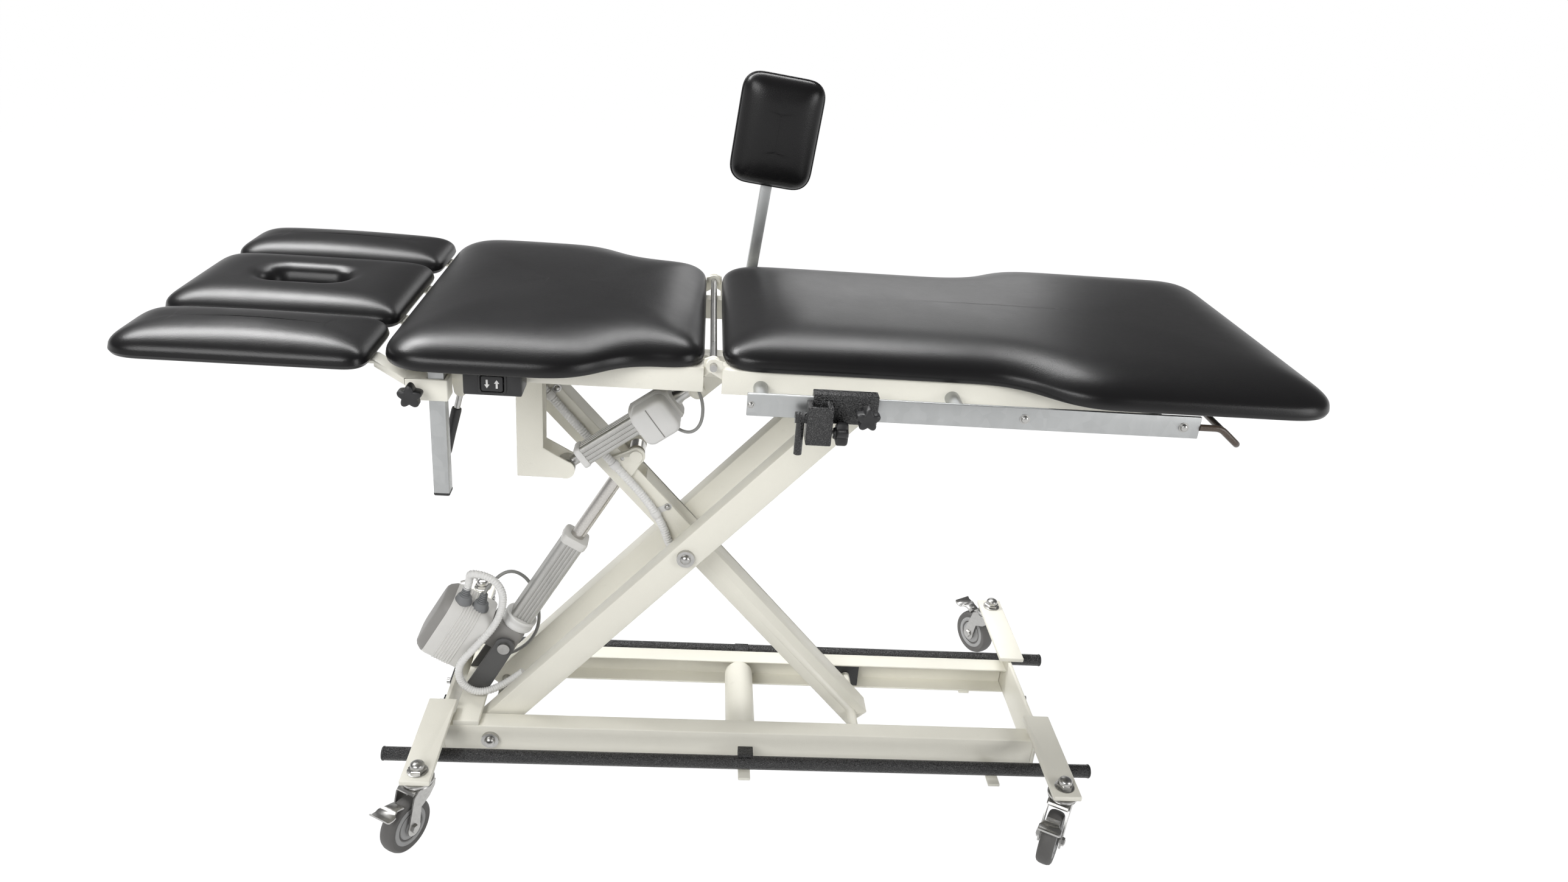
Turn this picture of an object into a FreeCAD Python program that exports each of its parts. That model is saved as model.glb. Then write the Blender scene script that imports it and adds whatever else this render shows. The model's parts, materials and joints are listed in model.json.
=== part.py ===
import FreeCAD
import Part
import Sketcher
import math
import os
from types import SimpleNamespace

# Hi-lo treatment table with a tilting back, head and arm pads and a clamp-on leg support.
# Millimetres; +Z is up, X runs from the head end to the foot end, Y from the near side to the far side.
V = FreeCAD.Vector
doc = FreeCAD.newDocument("treatment_table")
sheet = doc.addObject("Spreadsheet::Sheet", "dims")

SIZES = {
    "base_offset": 52, "hinge_offset": -56,
    "wheel_diameter": 104, "wheel_width": 30, "caster_height": 135, "caster_trail": 38,
    "caster_span_x": 1200, "caster_span_y": 620, "stem_diameter": 12, "crown_diameter": 58,
    "crown_height": 12, "fork_wall": 3, "fork_gap": 38, "fork_width": 46, "pedal_reach": 98,
    "pedal_width": 44, "pedal_thick": 7, "pedal_pivot_out": 58, "pedal_pin": 6, "pedal_hub": 11,
    "pedal_pivot_z": 112,
    "outrigger_width": 54, "outrigger_thick": 10, "outrigger_inner": 100, "outrigger_overhang": 28,
    "rail_height": 60, "rail_flange": 40, "rail_wall": 4, "rail_gap": 200, "rail_ground": 52,
    "end_plate_thick": 8, "cross_tube_diameter": 60, "cross_tube_offset": -8,
    "mount_length": 50, "mount_thick": 12, "mount_offset": -550,
    "bar_diameter": 26.7, "bar_overhang": 95, "bar_y": 189, "bar_z": 80,
    "lever_pivot_y": 35, "lever_pivot_z": 86, "lever_width": 24, "lever_thick": 6, "lever_gap": 10,
    "stop_tab_length": 24, "stop_tab_thick": 6, "bar_tab_length": 30, "bar_tab_thick": 5,
    "arm_length": 1090, "arm_angle": 47.8, "arm_pivot_offset": -503, "arm_height": 56,
    "arm_width": 40, "arm_gap": 110, "arm_wall": 4, "arm_tail": 22, "pivot_diameter": 20,
    "inner_width": 50, "inner_height": 52, "inner_wall": 4, "sleeve_diameter": 34,
    "rod_pin_along": 199, "rod_pin_above": 43, "slot_start": 150, "slot_end": 262,
    "ear_thick": 6, "ear_radius": 17, "ear_foot": 60,
    "block_length": 60, "block_depth": 30, "side_clear": 2, "run_clear": 0.3, "fit_clear": 0.05,
    "head_bolt_diameter": 34, "head_bolt_height": 8,
    "pivot_to_cushion": 38.5, "cushion_thick": 62, "pad_thick": 50, "hinge_rise": 4,
    "side_rail_width": 30, "side_rail_height": 38, "side_rail_drop": 6, "side_rail_head": -592,
    "side_rail_foot": 640, "cross_length": 30, "channel_head": 150, "channel_foot": 600,
    "channel_wall": 4, "channel_flange": 40,
    "angle_width": 40, "angle_height": 42, "angle_wall": 4, "leg_angle_y": 250, "back_angle_y": 245,
    "back_inset": 3,
    "flat_thick": 3, "flat_width": 60,
    "hinge_gap": 30, "hinge_pin_diameter": 12, "hinge_pin_half": 257, "hinge_ear_radius": 12,
    "hinge_ear_thick": 6,
    "foot_end": 957.5, "leg_half": 343, "waist_half": 258, "waist_end": 382, "flare_end": 580,
    "leg_corner": 70, "waist_corner": 45, "back_length": 492, "back_half": 335, "back_flare_start": 70,
    "back_flare_end": 250, "edge_round": 26, "hinge_round": 40, "under_round": 8,
    "head_gap": 14, "head_half": 150, "head_corner": 45, "face_slot_length": 150, "face_slot_width": 76,
    "pad_gap": 14, "arm_pad_half": 343,
    "bar_rail_y": 323, "bar_rail_thick": 6, "bar_rail_height": 38, "bar_rail_drop": 8,
    "bar_rail_head": -54, "bar_rail_overhang": 38, "spacer_diameter": 24,
    "loop_diameter": 11, "loop_reach": 74, "loop_drop": 30, "loop_bend": 28,
    "lift_pin_x": -490, "lift_pin_z": 230, "pin_diameter": 12, "lug_radius": 20, "lug_thick": 6,
    "lift_lug_gap": 72, "lift_tube_diameter": 50, "lift_rod_diameter": 28, "lift_tube_start": 62,
    "lift_tube_end": 280, "lift_collar_diameter": 66, "lift_gear_back": 25, "lift_gear_front": 38,
    "lift_gear_half": 24, "lift_gear_width": 60, "lift_motor_near": 45, "lift_motor_out": 152,
    "lift_motor_back": 102, "lift_motor_width": 104, "lift_rod_start": 210, "rod_bore_clear": 0.6,
    "eye_diameter": 32, "eye_width": 30, "lift_cap_length": 18, "lift_cap_diameter": 54,
    "back_plane": 70, "back_rod_pin_x": -362, "back_rod_pin_drop": 270, "back_pin_x": -130,
    "back_pin_drop": 99, "back_lug_gap": 44, "back_tube_diameter": 40, "back_tube_start": 31,
    "back_gear_start": 158, "back_gear_end": 240, "back_gear_half": 32, "back_gear_width": 50,
    "back_motor_half": 36, "back_motor_end": 134, "back_rod_diameter": 20, "back_rod_end": 152,
    "back_neck": 22,
    "drop_head": -448, "drop_foot": -401, "drop_reach": 286, "drop_wall": 4, "drop_tab_drop": 228,
    "drop_gap": 40,
    "post_width": 25, "post_inset": 77, "post_y": 270, "post_drop": 232,
    "collar_wall": 6, "collar_block": 28, "collar_drop": 64, "collar_height": 36, "carrier_width": 36,
    "carrier_thick": 6, "carrier_length": 230, "neck_gap": 3,
    "knob_diameter": 38, "knob_depth": 20, "knob_stem": 12, "knob_stem_length": 14,
    "control_inset": 44, "control_length": 90, "control_depth": 52, "control_height": 42,
    "rocker_length": 34, "rocker_height": 26, "rocker_depth": 6, "rocker_sink": 3, "rocker_clear": 1,
    "rocker_axis": 3, "rocker_pin": 4,
    "head_lug_y": 104, "head_lug_thick": 6, "head_lug_radius": 12, "head_hinge_drop": 12,
    "head_lug_reach": 28,
    "head_frame_bar": 34, "head_frame_thick": 5,
    "handle_y": 222, "handle_inset": 26, "handle_drop": 66, "handle_length": 124, "handle_diameter": 10,
    "grip_diameter": 17, "grip_length": 88, "handle_lean": 18, "handle_hub": 20, "handle_hub_width": 12,
    "handle_pin": 8,
    "jaw_length": 103, "jaw_wall": 8, "near_jaw_x": 100, "far_jaw_x": 8,
    "socket_width": 40, "socket_depth": 34, "socket_height": 64, "socket_drop": 14,
    "socket_shift": -42, "socket_stud": 10, "leg_post_width": 22, "leg_post_length": 300,
    "leg_post_below": 20,
    "leg_post_lean": 6, "leg_pad_width": 160, "leg_pad_height": 212, "leg_pad_thick": 52,
    "leg_pad_base": 226, "leg_pad_corner": 30, "ratchet_hub": 18, "ratchet_length": 62,
    "ratchet_diameter": 13,
}

row = 1
for name, value in SIZES.items():
    sheet.set(f"A{row}", name)
    sheet.set(f"B{row}", str(value))
    sheet.setAlias(f"B{row}", name)
    row += 1
doc.recompute()


class Size:
    """A length with the sheet formula that it comes from."""

    def __init__(self, value, formula):
        self.value = value
        self.formula = formula

    def join(self, other, sign, swap=False):
        other = as_size(other)
        left, right = (other, self) if swap else (self, other)
        results = {"+": left.value + right.value, "-": left.value - right.value,
                   "*": left.value * right.value}
        value = left.value / right.value if sign == "/" else results[sign]
        return Size(value, f"({left.formula} {sign} {right.formula})")

    def __add__(self, other):
        return self.join(other, "+")

    def __radd__(self, other):
        return self.join(other, "+", True)

    def __sub__(self, other):
        return self.join(other, "-")

    def __rsub__(self, other):
        return self.join(other, "-", True)

    def __mul__(self, other):
        return self.join(other, "*")

    def __rmul__(self, other):
        return self.join(other, "*", True)

    def __truediv__(self, other):
        return self.join(other, "/")

    def __neg__(self):
        return Size(-self.value, f"(-1 * {self.formula})")

    def __float__(self):
        return float(self.value)


def as_size(value):
    if isinstance(value, Size):
        return value
    return Size(float(value), repr(float(value)))


def sine(angle):
    return Size(math.sin(math.radians(float(angle))), f"sin({angle.formula})")


def cosine(angle):
    return Size(math.cos(math.radians(float(angle))), f"cos({angle.formula})")


d = SimpleNamespace(**{name: Size(float(sheet.get(name)), f"dims.{name}") for name in SIZES})


def vec(point):
    return V(float(point[0]), float(point[1]), float(point[2]))


def box(low, high):
    """A block between two corners, each size and position bound to the sheet."""
    made = doc.addObject("Part::Box", "block")
    for prop, axis, a, b in zip(("Length", "Width", "Height"), "xyz", low, high):
        a = as_size(a)
        made.setExpression(prop, (as_size(b) - a).formula)
        made.setExpression(f"Placement.Base.{axis}", a.formula)
    return made


TURNS = {"x": FreeCAD.Rotation(V(0, 1, 0), 90), "y": FreeCAD.Rotation(V(1, 0, 0), -90),
         "z": FreeCAD.Rotation()}


def rod(start, axis, length, diameter):
    """A round bar from its start along +x, +y or +z."""
    made = doc.addObject("Part::Cylinder", "round")
    made.setExpression("Radius", (as_size(diameter) / 2).formula)
    made.setExpression("Height", as_size(length).formula)
    made.Placement = FreeCAD.Placement(vec(start), TURNS[axis])
    return made


def fuse(*parts):
    made = doc.addObject("Part::MultiFuse", "joined")
    made.Shapes = list(parts)
    made.Refine = True
    return made


def cut(base, *tools):
    made = doc.addObject("Part::Cut", "cut")
    made.Base = base
    made.Tool = tools[0] if len(tools) == 1 else fuse(*tools)
    return made


def group(*parts):
    made = doc.addObject("Part::Compound", "group")
    made.Links = list(parts)
    return made


def place(part, point, angle=0, axis=V(0, 1, 0)):
    if part.TypeId == "Part::Box":
        part = group(part)
    part.Placement = FreeCAD.Placement(vec(point), FreeCAD.Rotation(axis, float(angle)))
    return part


def solid(shape):
    made = doc.addObject("Part::Feature", "shaped")
    made.Shape = shape
    return made


def profile(points, plane, start, depth):
    """A padded sketch whose corners are bound to the sheet; start is the low end of the pad."""
    body = doc.addObject("PartDesign::Body", "section")
    sketch = body.newObject("Sketcher::SketchObject", "outline")
    sketch.AttachmentSupport = ([item for item in body.Origin.OriginFeatures if item.Role == plane][0],
                                [""])
    sketch.MapMode = "FlatFace"
    corners = [V(float(a), float(b), 0) for a, b in points]
    count = len(points)
    for k in range(count):
        sketch.addGeometry(Part.LineSegment(corners[k], corners[(k + 1) % count]))
    for k in range(count):
        sketch.addConstraint(Sketcher.Constraint("Coincident", k, 2, (k + 1) % count, 1))
    for k, corner in enumerate(points):
        for kind, axis, size in (("DistanceX", -2, corner[0]), ("DistanceY", -1, corner[1])):
            size = as_size(size)
            if size.value == 0:
                sketch.addConstraint(Sketcher.Constraint("PointOnObject", k, 1, axis))
            elif size.value < 0:
                spot = sketch.addConstraint(Sketcher.Constraint(kind, k, 1, -1, 1, -size.value))
                sketch.setExpression(f"Constraints[{spot}]", (-size).formula)
            else:
                spot = sketch.addConstraint(Sketcher.Constraint(kind, -1, 1, k, 1, size.value))
                sketch.setExpression(f"Constraints[{spot}]", size.formula)
    pad = body.newObject("PartDesign::Pad", "pad")
    pad.Profile = sketch
    pad.setExpression("Length", as_size(depth).formula)
    start = as_size(start)
    if plane == "XZ_Plane":
        body.setExpression("Placement.Base.y", (start + depth).formula)
    elif plane == "YZ_Plane":
        body.setExpression("Placement.Base.x", start.formula)
    else:
        body.setExpression("Placement.Base.z", start.formula)
    return body


def lug(foot_a, foot_b, eye, radius, low, thick):
    """A flat lug in the XZ plane: a foot edge drawn out to a round eye."""
    a = V(float(foot_a[0]), 0, float(foot_a[1]))
    b = V(float(foot_b[0]), 0, float(foot_b[1]))
    e = V(float(eye[0]), 0, float(eye[1]))
    along = e - (a + b) * 0.5
    along.normalize()
    across = V(along.z, 0, -along.x) * float(radius)
    if (a - b).dot(across) < 0:
        across = across * -1
    rim = Part.Arc(e + across, e + along * float(radius), e - across).toShape()
    lines = [Part.makeLine(a, e + across), rim, Part.makeLine(e - across, b), Part.makeLine(b, a)]
    face = Part.Face(Part.Wire(lines))
    shape = face.extrude(V(0, float(thick), 0))
    shape.translate(V(0, float(low), 0))
    return solid(shape)


def tube_along(points, bends, diameter):
    """A round bar along straight runs joined by tangent arcs."""
    points = [vec(p) for p in points]
    edges = []
    last = points[0]
    for k in range(1, len(points) - 1):
        into = points[k] - points[k - 1]
        out = points[k + 1] - points[k]
        into.normalize()
        out.normalize()
        turn = math.acos(max(-1.0, min(1.0, into.dot(out))))
        reach = float(bends[k - 1]) * math.tan(turn / 2)
        a = points[k] - into * reach
        b = points[k] + out * reach
        inward = out - into
        inward.normalize()
        centre = points[k] + inward * (float(bends[k - 1]) / math.cos(turn / 2))
        edges.append(Part.LineSegment(last, a).toShape())
        edges.append(Part.Arc(a, centre - inward * float(bends[k - 1]), b).toShape())
        last = b
    edges.append(Part.LineSegment(last, points[-1]).toShape())
    path = Part.Wire(edges)
    first = points[1] - points[0]
    ring = Part.Wire(Part.makeCircle(float(diameter) / 2, points[0], first))
    return solid(path.makePipeShell([ring], True, True))


NODES = {}


def node(name, part):
    part.Label = name
    NODES[name] = part


# Where the main lines and pivots lie.
bx = d.base_offset
half_x = d.caster_span_x / 2
half_y = d.caster_span_y / 2
rail_in = d.rail_gap / 2
rail_out = rail_in + d.rail_flange
rail_top = d.rail_ground + d.rail_height
pivot_z = d.rail_ground + d.rail_height / 2
pivot_x = bx + d.arm_pivot_offset
reach_x = d.arm_length * cosine(d.arm_angle)
reach_z = d.arm_length * sine(d.arm_angle)
axle_x = pivot_x + reach_x
top_z = pivot_z + reach_z
seat_z = top_z + d.pivot_to_cushion
hinge_x = d.hinge_offset
hinge_z = seat_z + d.hinge_rise

# Base: two rails, end plates with caster bars, a tube and the lift mount across.
rails = []
for side in (-1, 1):
    points = [(rail_in, d.rail_ground), (rail_out, d.rail_ground), (rail_out, rail_top),
              (rail_in, rail_top),
              (rail_in, rail_top - d.rail_wall), (rail_out - d.rail_wall, rail_top - d.rail_wall),
              (rail_out - d.rail_wall, d.rail_ground + d.rail_wall), (rail_in,
                                                                      d.rail_ground + d.rail_wall)]
    points = [(a * side, b) for a, b in points]
    rails.append(profile(points, "YZ_Plane", bx - half_x + d.end_plate_thick,
                         d.caster_span_x - d.end_plate_thick * 2))
node("base_rails", group(*rails))

bar_top = d.caster_height + d.outrigger_thick
ends = []
for end in (-1, 1):
    outer = bx + half_x * end
    inner = outer - d.end_plate_thick * end
    low, high = (outer, inner) if end < 0 else (inner, outer)
    ends.append(box((low, -rail_out, d.rail_ground), (high, rail_out, d.caster_height)))
    for side in (-1, 1):
        a = d.outrigger_inner * side
        b = (half_y + d.outrigger_overhang) * side
        y_low, y_high = (b, a) if side < 0 else (a, b)
        bar = box((outer - d.outrigger_width / 2, y_low, d.caster_height),
                  (outer + d.outrigger_width / 2, y_high, bar_top))
        hole = rod((outer, half_y * side, d.caster_height), "z", d.outrigger_thick,
                   d.stem_diameter + d.fit_clear * 2)
        ends.append(cut(bar, hole))
for end in (-1, 0, 1):
    for side in (-1, 1):
        x = bx + (half_x - d.lever_width * 4) * end
        a = rail_in * side
        b = (d.bar_y + d.bar_diameter / 2) * side
        y_low, y_high = (b, a) if side < 0 else (a, b)
        if end >= 0:
            ends.append(box((x - d.stop_tab_length / 2, y_low, d.rail_ground - d.stop_tab_thick),
                            (x + d.stop_tab_length / 2, y_high, d.rail_ground)))
node("base_ends", group(*ends))

lift_pin = (bx + d.lift_pin_x, d.lift_pin_z)
tube = rod((bx + d.cross_tube_offset, -rail_in, pivot_z), "y", d.rail_gap, d.cross_tube_diameter)
mount_low = bx + d.mount_offset - d.mount_length / 2
mount_high = bx + d.mount_offset + d.mount_length / 2
mount_top = rail_top + d.mount_thick
mount = box((mount_low, -rail_out, rail_top), (mount_high, rail_out, mount_top))
lugs = []
for side in (-1, 1):
    low = d.lift_lug_gap / 2 if side > 0 else -(d.lift_lug_gap / 2) - d.lug_thick
    lugs.append(lug((mount_low, mount_top), (mount_high, mount_top), lift_pin, d.lug_radius, low,
                    d.lug_thick))
node("base_crossmembers", group(tube, mount))
node("lift_lugs", group(*lugs))

fasteners = [rod((pivot_x, -rail_out + d.rail_wall, pivot_z), "y", (rail_out - d.rail_wall) * 2,
                 d.pivot_diameter)]
fasteners.append(rod((lift_pin[0], -d.lift_lug_gap / 2, lift_pin[1]), "y", d.lift_lug_gap,
                     d.pin_diameter))
for side in (-1, 1):
    y = rail_out if side > 0 else -rail_out - d.head_bolt_height
    fasteners.append(rod((pivot_x, y, pivot_z), "y", d.head_bolt_height, d.head_bolt_diameter))
    lug_face = d.lift_lug_gap / 2 + d.lug_thick
    y = lug_face if side > 0 else -lug_face - d.head_bolt_height
    fasteners.append(rod((lift_pin[0], y, lift_pin[1]), "y", d.head_bolt_height, d.pin_diameter * 2))
    for end in (-1, 1):
        fasteners.append(rod((bx + half_x * end, half_y * side, bar_top), "z", d.head_bolt_height * 2,
                             d.pin_diameter * 2))
        x = bx + half_x if end > 0 else bx - half_x - d.lever_gap - d.lever_thick - d.head_bolt_height
        span = d.lever_gap + d.lever_thick + d.head_bolt_height
        fasteners.append(rod((x, d.lever_pivot_y * side, d.lever_pivot_z), "x", span, d.pin_diameter))
node("base_fasteners", group(*fasteners))

# Foot bars: one along each side, on a pair of levers that turn on the end plates.
for label, side in (("near", -1), ("far", 1)):
    bar_half = half_x + d.bar_overhang
    bar = rod((bx - bar_half, d.bar_y * side, d.bar_z), "x", bar_half * 2, d.bar_diameter)
    pieces = [bar]
    holes = []
    for end in (-1, 1):
        x = bx + (half_x + d.lever_gap) * end
        low = x if end > 0 else x - d.lever_thick
        a = (d.lever_pivot_y - d.lever_width / 2) * side
        b = d.bar_y * side
        y_low, y_high = (b, a) if side < 0 else (a, b)
        z = (d.lever_pivot_z + d.bar_z) / 2
        pieces.append(box((low, y_low, z - d.lever_width / 2),
                          (low + d.lever_thick, y_high, z + d.lever_width / 2)))
        holes.append(rod((low, d.lever_pivot_y * side, d.lever_pivot_z), "x", d.lever_thick,
                         d.pin_diameter + d.fit_clear * 2))
    tab_low = (d.bar_y - d.bar_diameter) * side
    tab_high = d.bar_y * side
    y_low, y_high = (tab_high, tab_low) if side < 0 else (tab_low, tab_high)
    tab_top = d.bar_z + d.bar_diameter / 2 + d.bar_tab_thick
    tab_half = d.bar_tab_length / 2
    pieces.append(box((bx - tab_half, y_low, d.bar_z), (bx + tab_half, y_high, tab_top)))
    node(f"{label}_foot_bar", cut(fuse(*pieces), *holes))

# Casters: a swivelling fork, a wheel on a fixed axle and a brake pedal, all in one local frame.
# Each trails from its own stem along local +x.
wheel_z = d.wheel_diameter / 2
crown_top = d.caster_height - d.run_clear
crown_low = crown_top - d.crown_height
TRAIL = 120
for end_name, end in (("head", -1), ("foot", 1)):
    for side_name, side in (("near", -1), ("far", 1)):
        spot = (bx + half_x * end, half_y * side, 0)
        crown = rod((0, 0, crown_low), "z", d.crown_height, d.crown_diameter)
        stem = rod((0, 0, crown_low), "z", d.caster_height + d.outrigger_thick - crown_low,
                   d.stem_diameter)
        fork_half = d.fork_gap / 2 + d.fork_wall
        bridge = box((0, -fork_half, crown_low),
                     (d.pedal_pivot_out + d.pedal_thick, fork_half, crown_low + d.fork_wall))
        parts = [crown, stem, bridge]
        for leg in (-1, 1):
            y = d.fork_gap / 2 if leg > 0 else -(d.fork_gap / 2) - d.fork_wall
            shape = lug((-(d.fork_width / 4), crown_low + d.fork_wall),
                        (d.pedal_pivot_out + d.pedal_thick,
                        crown_low + d.fork_wall), (d.caster_trail,
                                                   wheel_z), d.fork_width / 3, y, d.fork_wall)
            parts.append(shape)
        parts.append(rod((d.caster_trail, -d.fork_gap / 2, wheel_z), "y", d.fork_gap, d.pin_diameter))
        pedal_z = d.pedal_pivot_z - d.pedal_thick / 2
        parts.append(rod((d.pedal_pivot_out, -d.fork_gap / 2, pedal_z), "y", d.fork_gap, d.pedal_pin))
        fork = fuse(*parts)
        node(f"{end_name}_{side_name}_caster_fork", place(fork, spot, TRAIL * side, V(0, 0, 1)))
        tyre = rod((d.caster_trail, -d.wheel_width / 2, wheel_z), "y", d.wheel_width, d.wheel_diameter)
        bore = rod((d.caster_trail, -d.wheel_width / 2, wheel_z), "y", d.wheel_width,
                   d.pin_diameter + d.fit_clear * 2)
        wheel = cut(tyre, bore)
        node(f"{end_name}_{side_name}_caster_wheel", place(wheel, spot, TRAIL * side, V(0, 0, 1)))
        half = d.pedal_width / 2
        pedal = box((d.pedal_pivot_out, -(d.fork_gap / 2) + d.fork_wall, d.pedal_pivot_z - d.pedal_thick),
                    (d.pedal_reach, d.fork_gap / 2 - d.fork_wall, d.pedal_pivot_z))
        tip = box((d.pedal_reach - d.pedal_thick * 3, -half, d.pedal_pivot_z - d.pedal_thick),
                  (d.pedal_reach, half, d.pedal_pivot_z))
        inside = d.fork_gap / 2 - d.fork_wall
        hub = rod((d.pedal_pivot_out, -inside, pedal_z), "y", inside * 2, d.pedal_hub)
        bore = rod((d.pedal_pivot_out, -inside, pedal_z), "y", inside * 2, d.pedal_pin + d.fit_clear * 2)
        pedal = cut(fuse(pedal, tip, hub), bore)
        node(f"{end_name}_{side_name}_caster_pedal", place(pedal, spot, TRAIL * side, V(0, 0, 1)))

# Scissor: two outer arms on the head-end pivot, one inner arm between them.
arm_half = d.arm_height / 2
arm_in = d.arm_gap / 2
arm_out = arm_in + d.arm_width
bore_size = d.pivot_diameter + d.fit_clear * 2
for label, side in (("near", -1), ("far", 1)):
    low, high = (-arm_out, -arm_in) if side < 0 else (arm_in, arm_out)
    skin = box((-d.arm_tail, low, -arm_half), (d.arm_length + d.arm_tail, high, arm_half))
    core = box((d.arm_tail, low + d.arm_wall, -arm_half + d.arm_wall),
               (d.arm_length - d.arm_tail, high - d.arm_wall, arm_half - d.arm_wall))
    hole = rod((0, low, 0), "y", d.arm_width, bore_size)
    node(f"{label}_outer_arm", place(cut(skin, core, hole), (pivot_x, 0, pivot_z), -d.arm_angle))

shafts = [rod((d.arm_length / 2, -arm_in, 0), "y", d.arm_gap, d.pivot_diameter),
          rod((d.arm_length, -arm_in, 0), "y", d.arm_gap, d.pivot_diameter)]
roller = d.rail_height - d.rail_wall * 2 - d.run_clear * 2
for side in (-1, 1):
    y = arm_out if side > 0 else -arm_out - d.head_bolt_height
    shafts.append(rod((d.arm_length / 2, y, 0), "y", d.head_bolt_height, d.head_bolt_diameter))
    gap = rail_in + d.side_clear - arm_out
    y = arm_out if side > 0 else -arm_out - gap
    shafts.append(rod((d.arm_length, y, 0), "y", gap, d.pivot_diameter))
    y = rail_in + d.side_clear if side > 0 else -(rail_in + d.side_clear) - d.block_depth
    shafts.append(rod((d.arm_length, y, 0), "y", d.block_depth, roller))
node("outer_arm_shafts", place(group(*shafts), (pivot_x, 0, pivot_z), -d.arm_angle))

# The inner arm runs from its low axle up to the head end; its open side faces down.
inner_half = d.inner_height / 2
inner_y = d.inner_width / 2
wall = d.inner_wall
points = [(-inner_y, -inner_half), (inner_y, -inner_half), (inner_y, inner_half),
          (inner_y - wall, inner_half),
          (inner_y - wall, -inner_half + wall), (-inner_y + wall, -inner_half + wall),
          (-inner_y + wall, inner_half), (-inner_y, inner_half)]
channel = profile(points, "YZ_Plane", -d.arm_tail, d.arm_length + d.arm_tail * 2)
mid = d.arm_length / 2
slot = box((mid + d.slot_start, -inner_y + wall, -inner_half),
           (mid + d.slot_end, inner_y - wall, -inner_half + wall))
parts = [cut(channel, slot)]
for along in (0, mid, d.arm_length):
    parts.append(rod((along, -inner_y, 0), "y", d.inner_width, d.sleeve_diameter))
axle_half = rail_in + d.side_clear + d.block_depth
parts.append(rod((0, -axle_half, 0), "y", axle_half * 2, d.pivot_diameter))
pin_u = mid + d.rod_pin_along
for side in (-1, 1):
    low = inner_y if side > 0 else -inner_y - d.ear_thick
    parts.append(lug((pin_u - d.ear_foot / 2, 0), (pin_u + d.ear_foot / 2, 0), (pin_u, -d.rod_pin_above),
                     d.ear_radius, low, d.ear_thick))
    low = inner_y + d.ear_thick if side > 0 else -inner_y - d.ear_thick - d.head_bolt_height / 2
    parts.append(rod((pin_u, low, -d.rod_pin_above), "y", d.head_bolt_height / 2, d.pin_diameter * 2))
bores = [rod((mid, -inner_y, 0), "y", d.inner_width, bore_size),
         rod((d.arm_length, -inner_y, 0), "y", d.inner_width, bore_size)]
inner = cut(fuse(*parts), *bores)
node("inner_arm", place(inner, (axle_x, 0, pivot_z), 180 + float(d.arm_angle)))

blocks = []
block_half = d.rail_height / 2 - d.rail_wall - d.run_clear
for side in (-1, 1):
    low = rail_in + d.side_clear if side > 0 else -(rail_in + d.side_clear) - d.block_depth
    block = box((axle_x - d.block_length / 2, low, pivot_z - block_half),
                (axle_x + d.block_length / 2, low + d.block_depth, pivot_z + block_half))
    blocks.append(cut(block, rod((axle_x, low, pivot_z), "y", d.block_depth, bore_size)))
node("slide_blocks", group(*blocks))

# Top frame: side rails, crossmembers, roller channels, angles under the leg cushion and lugs.
side_top = seat_z - d.side_rail_drop
side_low = side_top - d.side_rail_height
side_in = rail_in + d.channel_flange
head_x = bx + d.side_rail_head
foot_x = bx + d.side_rail_foot
frame = []
for side in (-1, 1):
    low, high = (side_in, side_in + d.side_rail_width) if side > 0 else (-side_in - d.side_rail_width,
                                                                         -side_in)
    frame.append(box((head_x, low, side_low), (foot_x, high, side_top)))
for x in (head_x, hinge_x + d.cross_length, foot_x - d.cross_length):
    frame.append(box((x, -side_in, side_low), (x + d.cross_length, side_in, side_top)))
channels = []
room = d.rail_height / 2 - d.rail_wall
for side in (-1, 1):
    points = [(rail_in, top_z - room - d.channel_wall), (side_in, top_z - room - d.channel_wall),
              (side_in, top_z + room + d.channel_wall), (rail_in, top_z + room + d.channel_wall),
              (rail_in, top_z + room), (side_in - d.channel_wall, top_z + room),
              (side_in - d.channel_wall, top_z - room), (rail_in, top_z - room)]
    points = [(a * side, b) for a, b in points]
    channels.append(profile(points, "YZ_Plane", bx + d.channel_head, d.channel_foot - d.channel_head))


def angle_bar(outer, low, length, side):
    points = [(outer - d.angle_width, seat_z - d.angle_wall),
              (outer - d.angle_wall, seat_z - d.angle_wall),
              (outer - d.angle_wall, seat_z - d.angle_height), (outer, seat_z - d.angle_height), (outer,
                                                                                                  seat_z),
              (outer - d.angle_width, seat_z)]
    points = [(a * side, b) for a, b in points]
    return profile(points, "YZ_Plane", low, length)


angles = []
leg_head = hinge_x + d.hinge_gap / 2
for side in (-1, 1):
    angles.append(angle_bar(d.leg_angle_y, leg_head, foot_x - leg_head, side))
    low = d.leg_angle_y - d.angle_wall - d.hinge_ear_thick if side > 0 else -d.leg_angle_y + d.angle_wall
    foot = leg_head + d.angle_width
    ear = lug((foot, seat_z - d.angle_wall), (foot, seat_z - d.angle_height), (hinge_x, hinge_z),
              d.hinge_ear_radius, low, d.hinge_ear_thick)
    bore = rod((hinge_x, low, hinge_z), "y", d.hinge_ear_thick, d.hinge_pin_diameter + d.fit_clear * 2)
    notch = box((leg_head, low, seat_z - d.angle_wall),
                (foot, low + d.hinge_ear_thick, seat_z + d.hinge_ear_radius * 2))
    angles.append(cut(ear, bore, notch))
span = d.leg_angle_y - d.angle_width
for x in (hinge_x + d.cross_length, foot_x - d.flat_width):
    angles.append(box((x, -span, side_top), (x + d.cross_length, span, seat_z)))
node("leg_frame", group(*angles))
node("hinge_pin", rod((hinge_x, -d.hinge_pin_half, hinge_z), "y", d.hinge_pin_half * 2,
                      d.hinge_pin_diameter))

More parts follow.
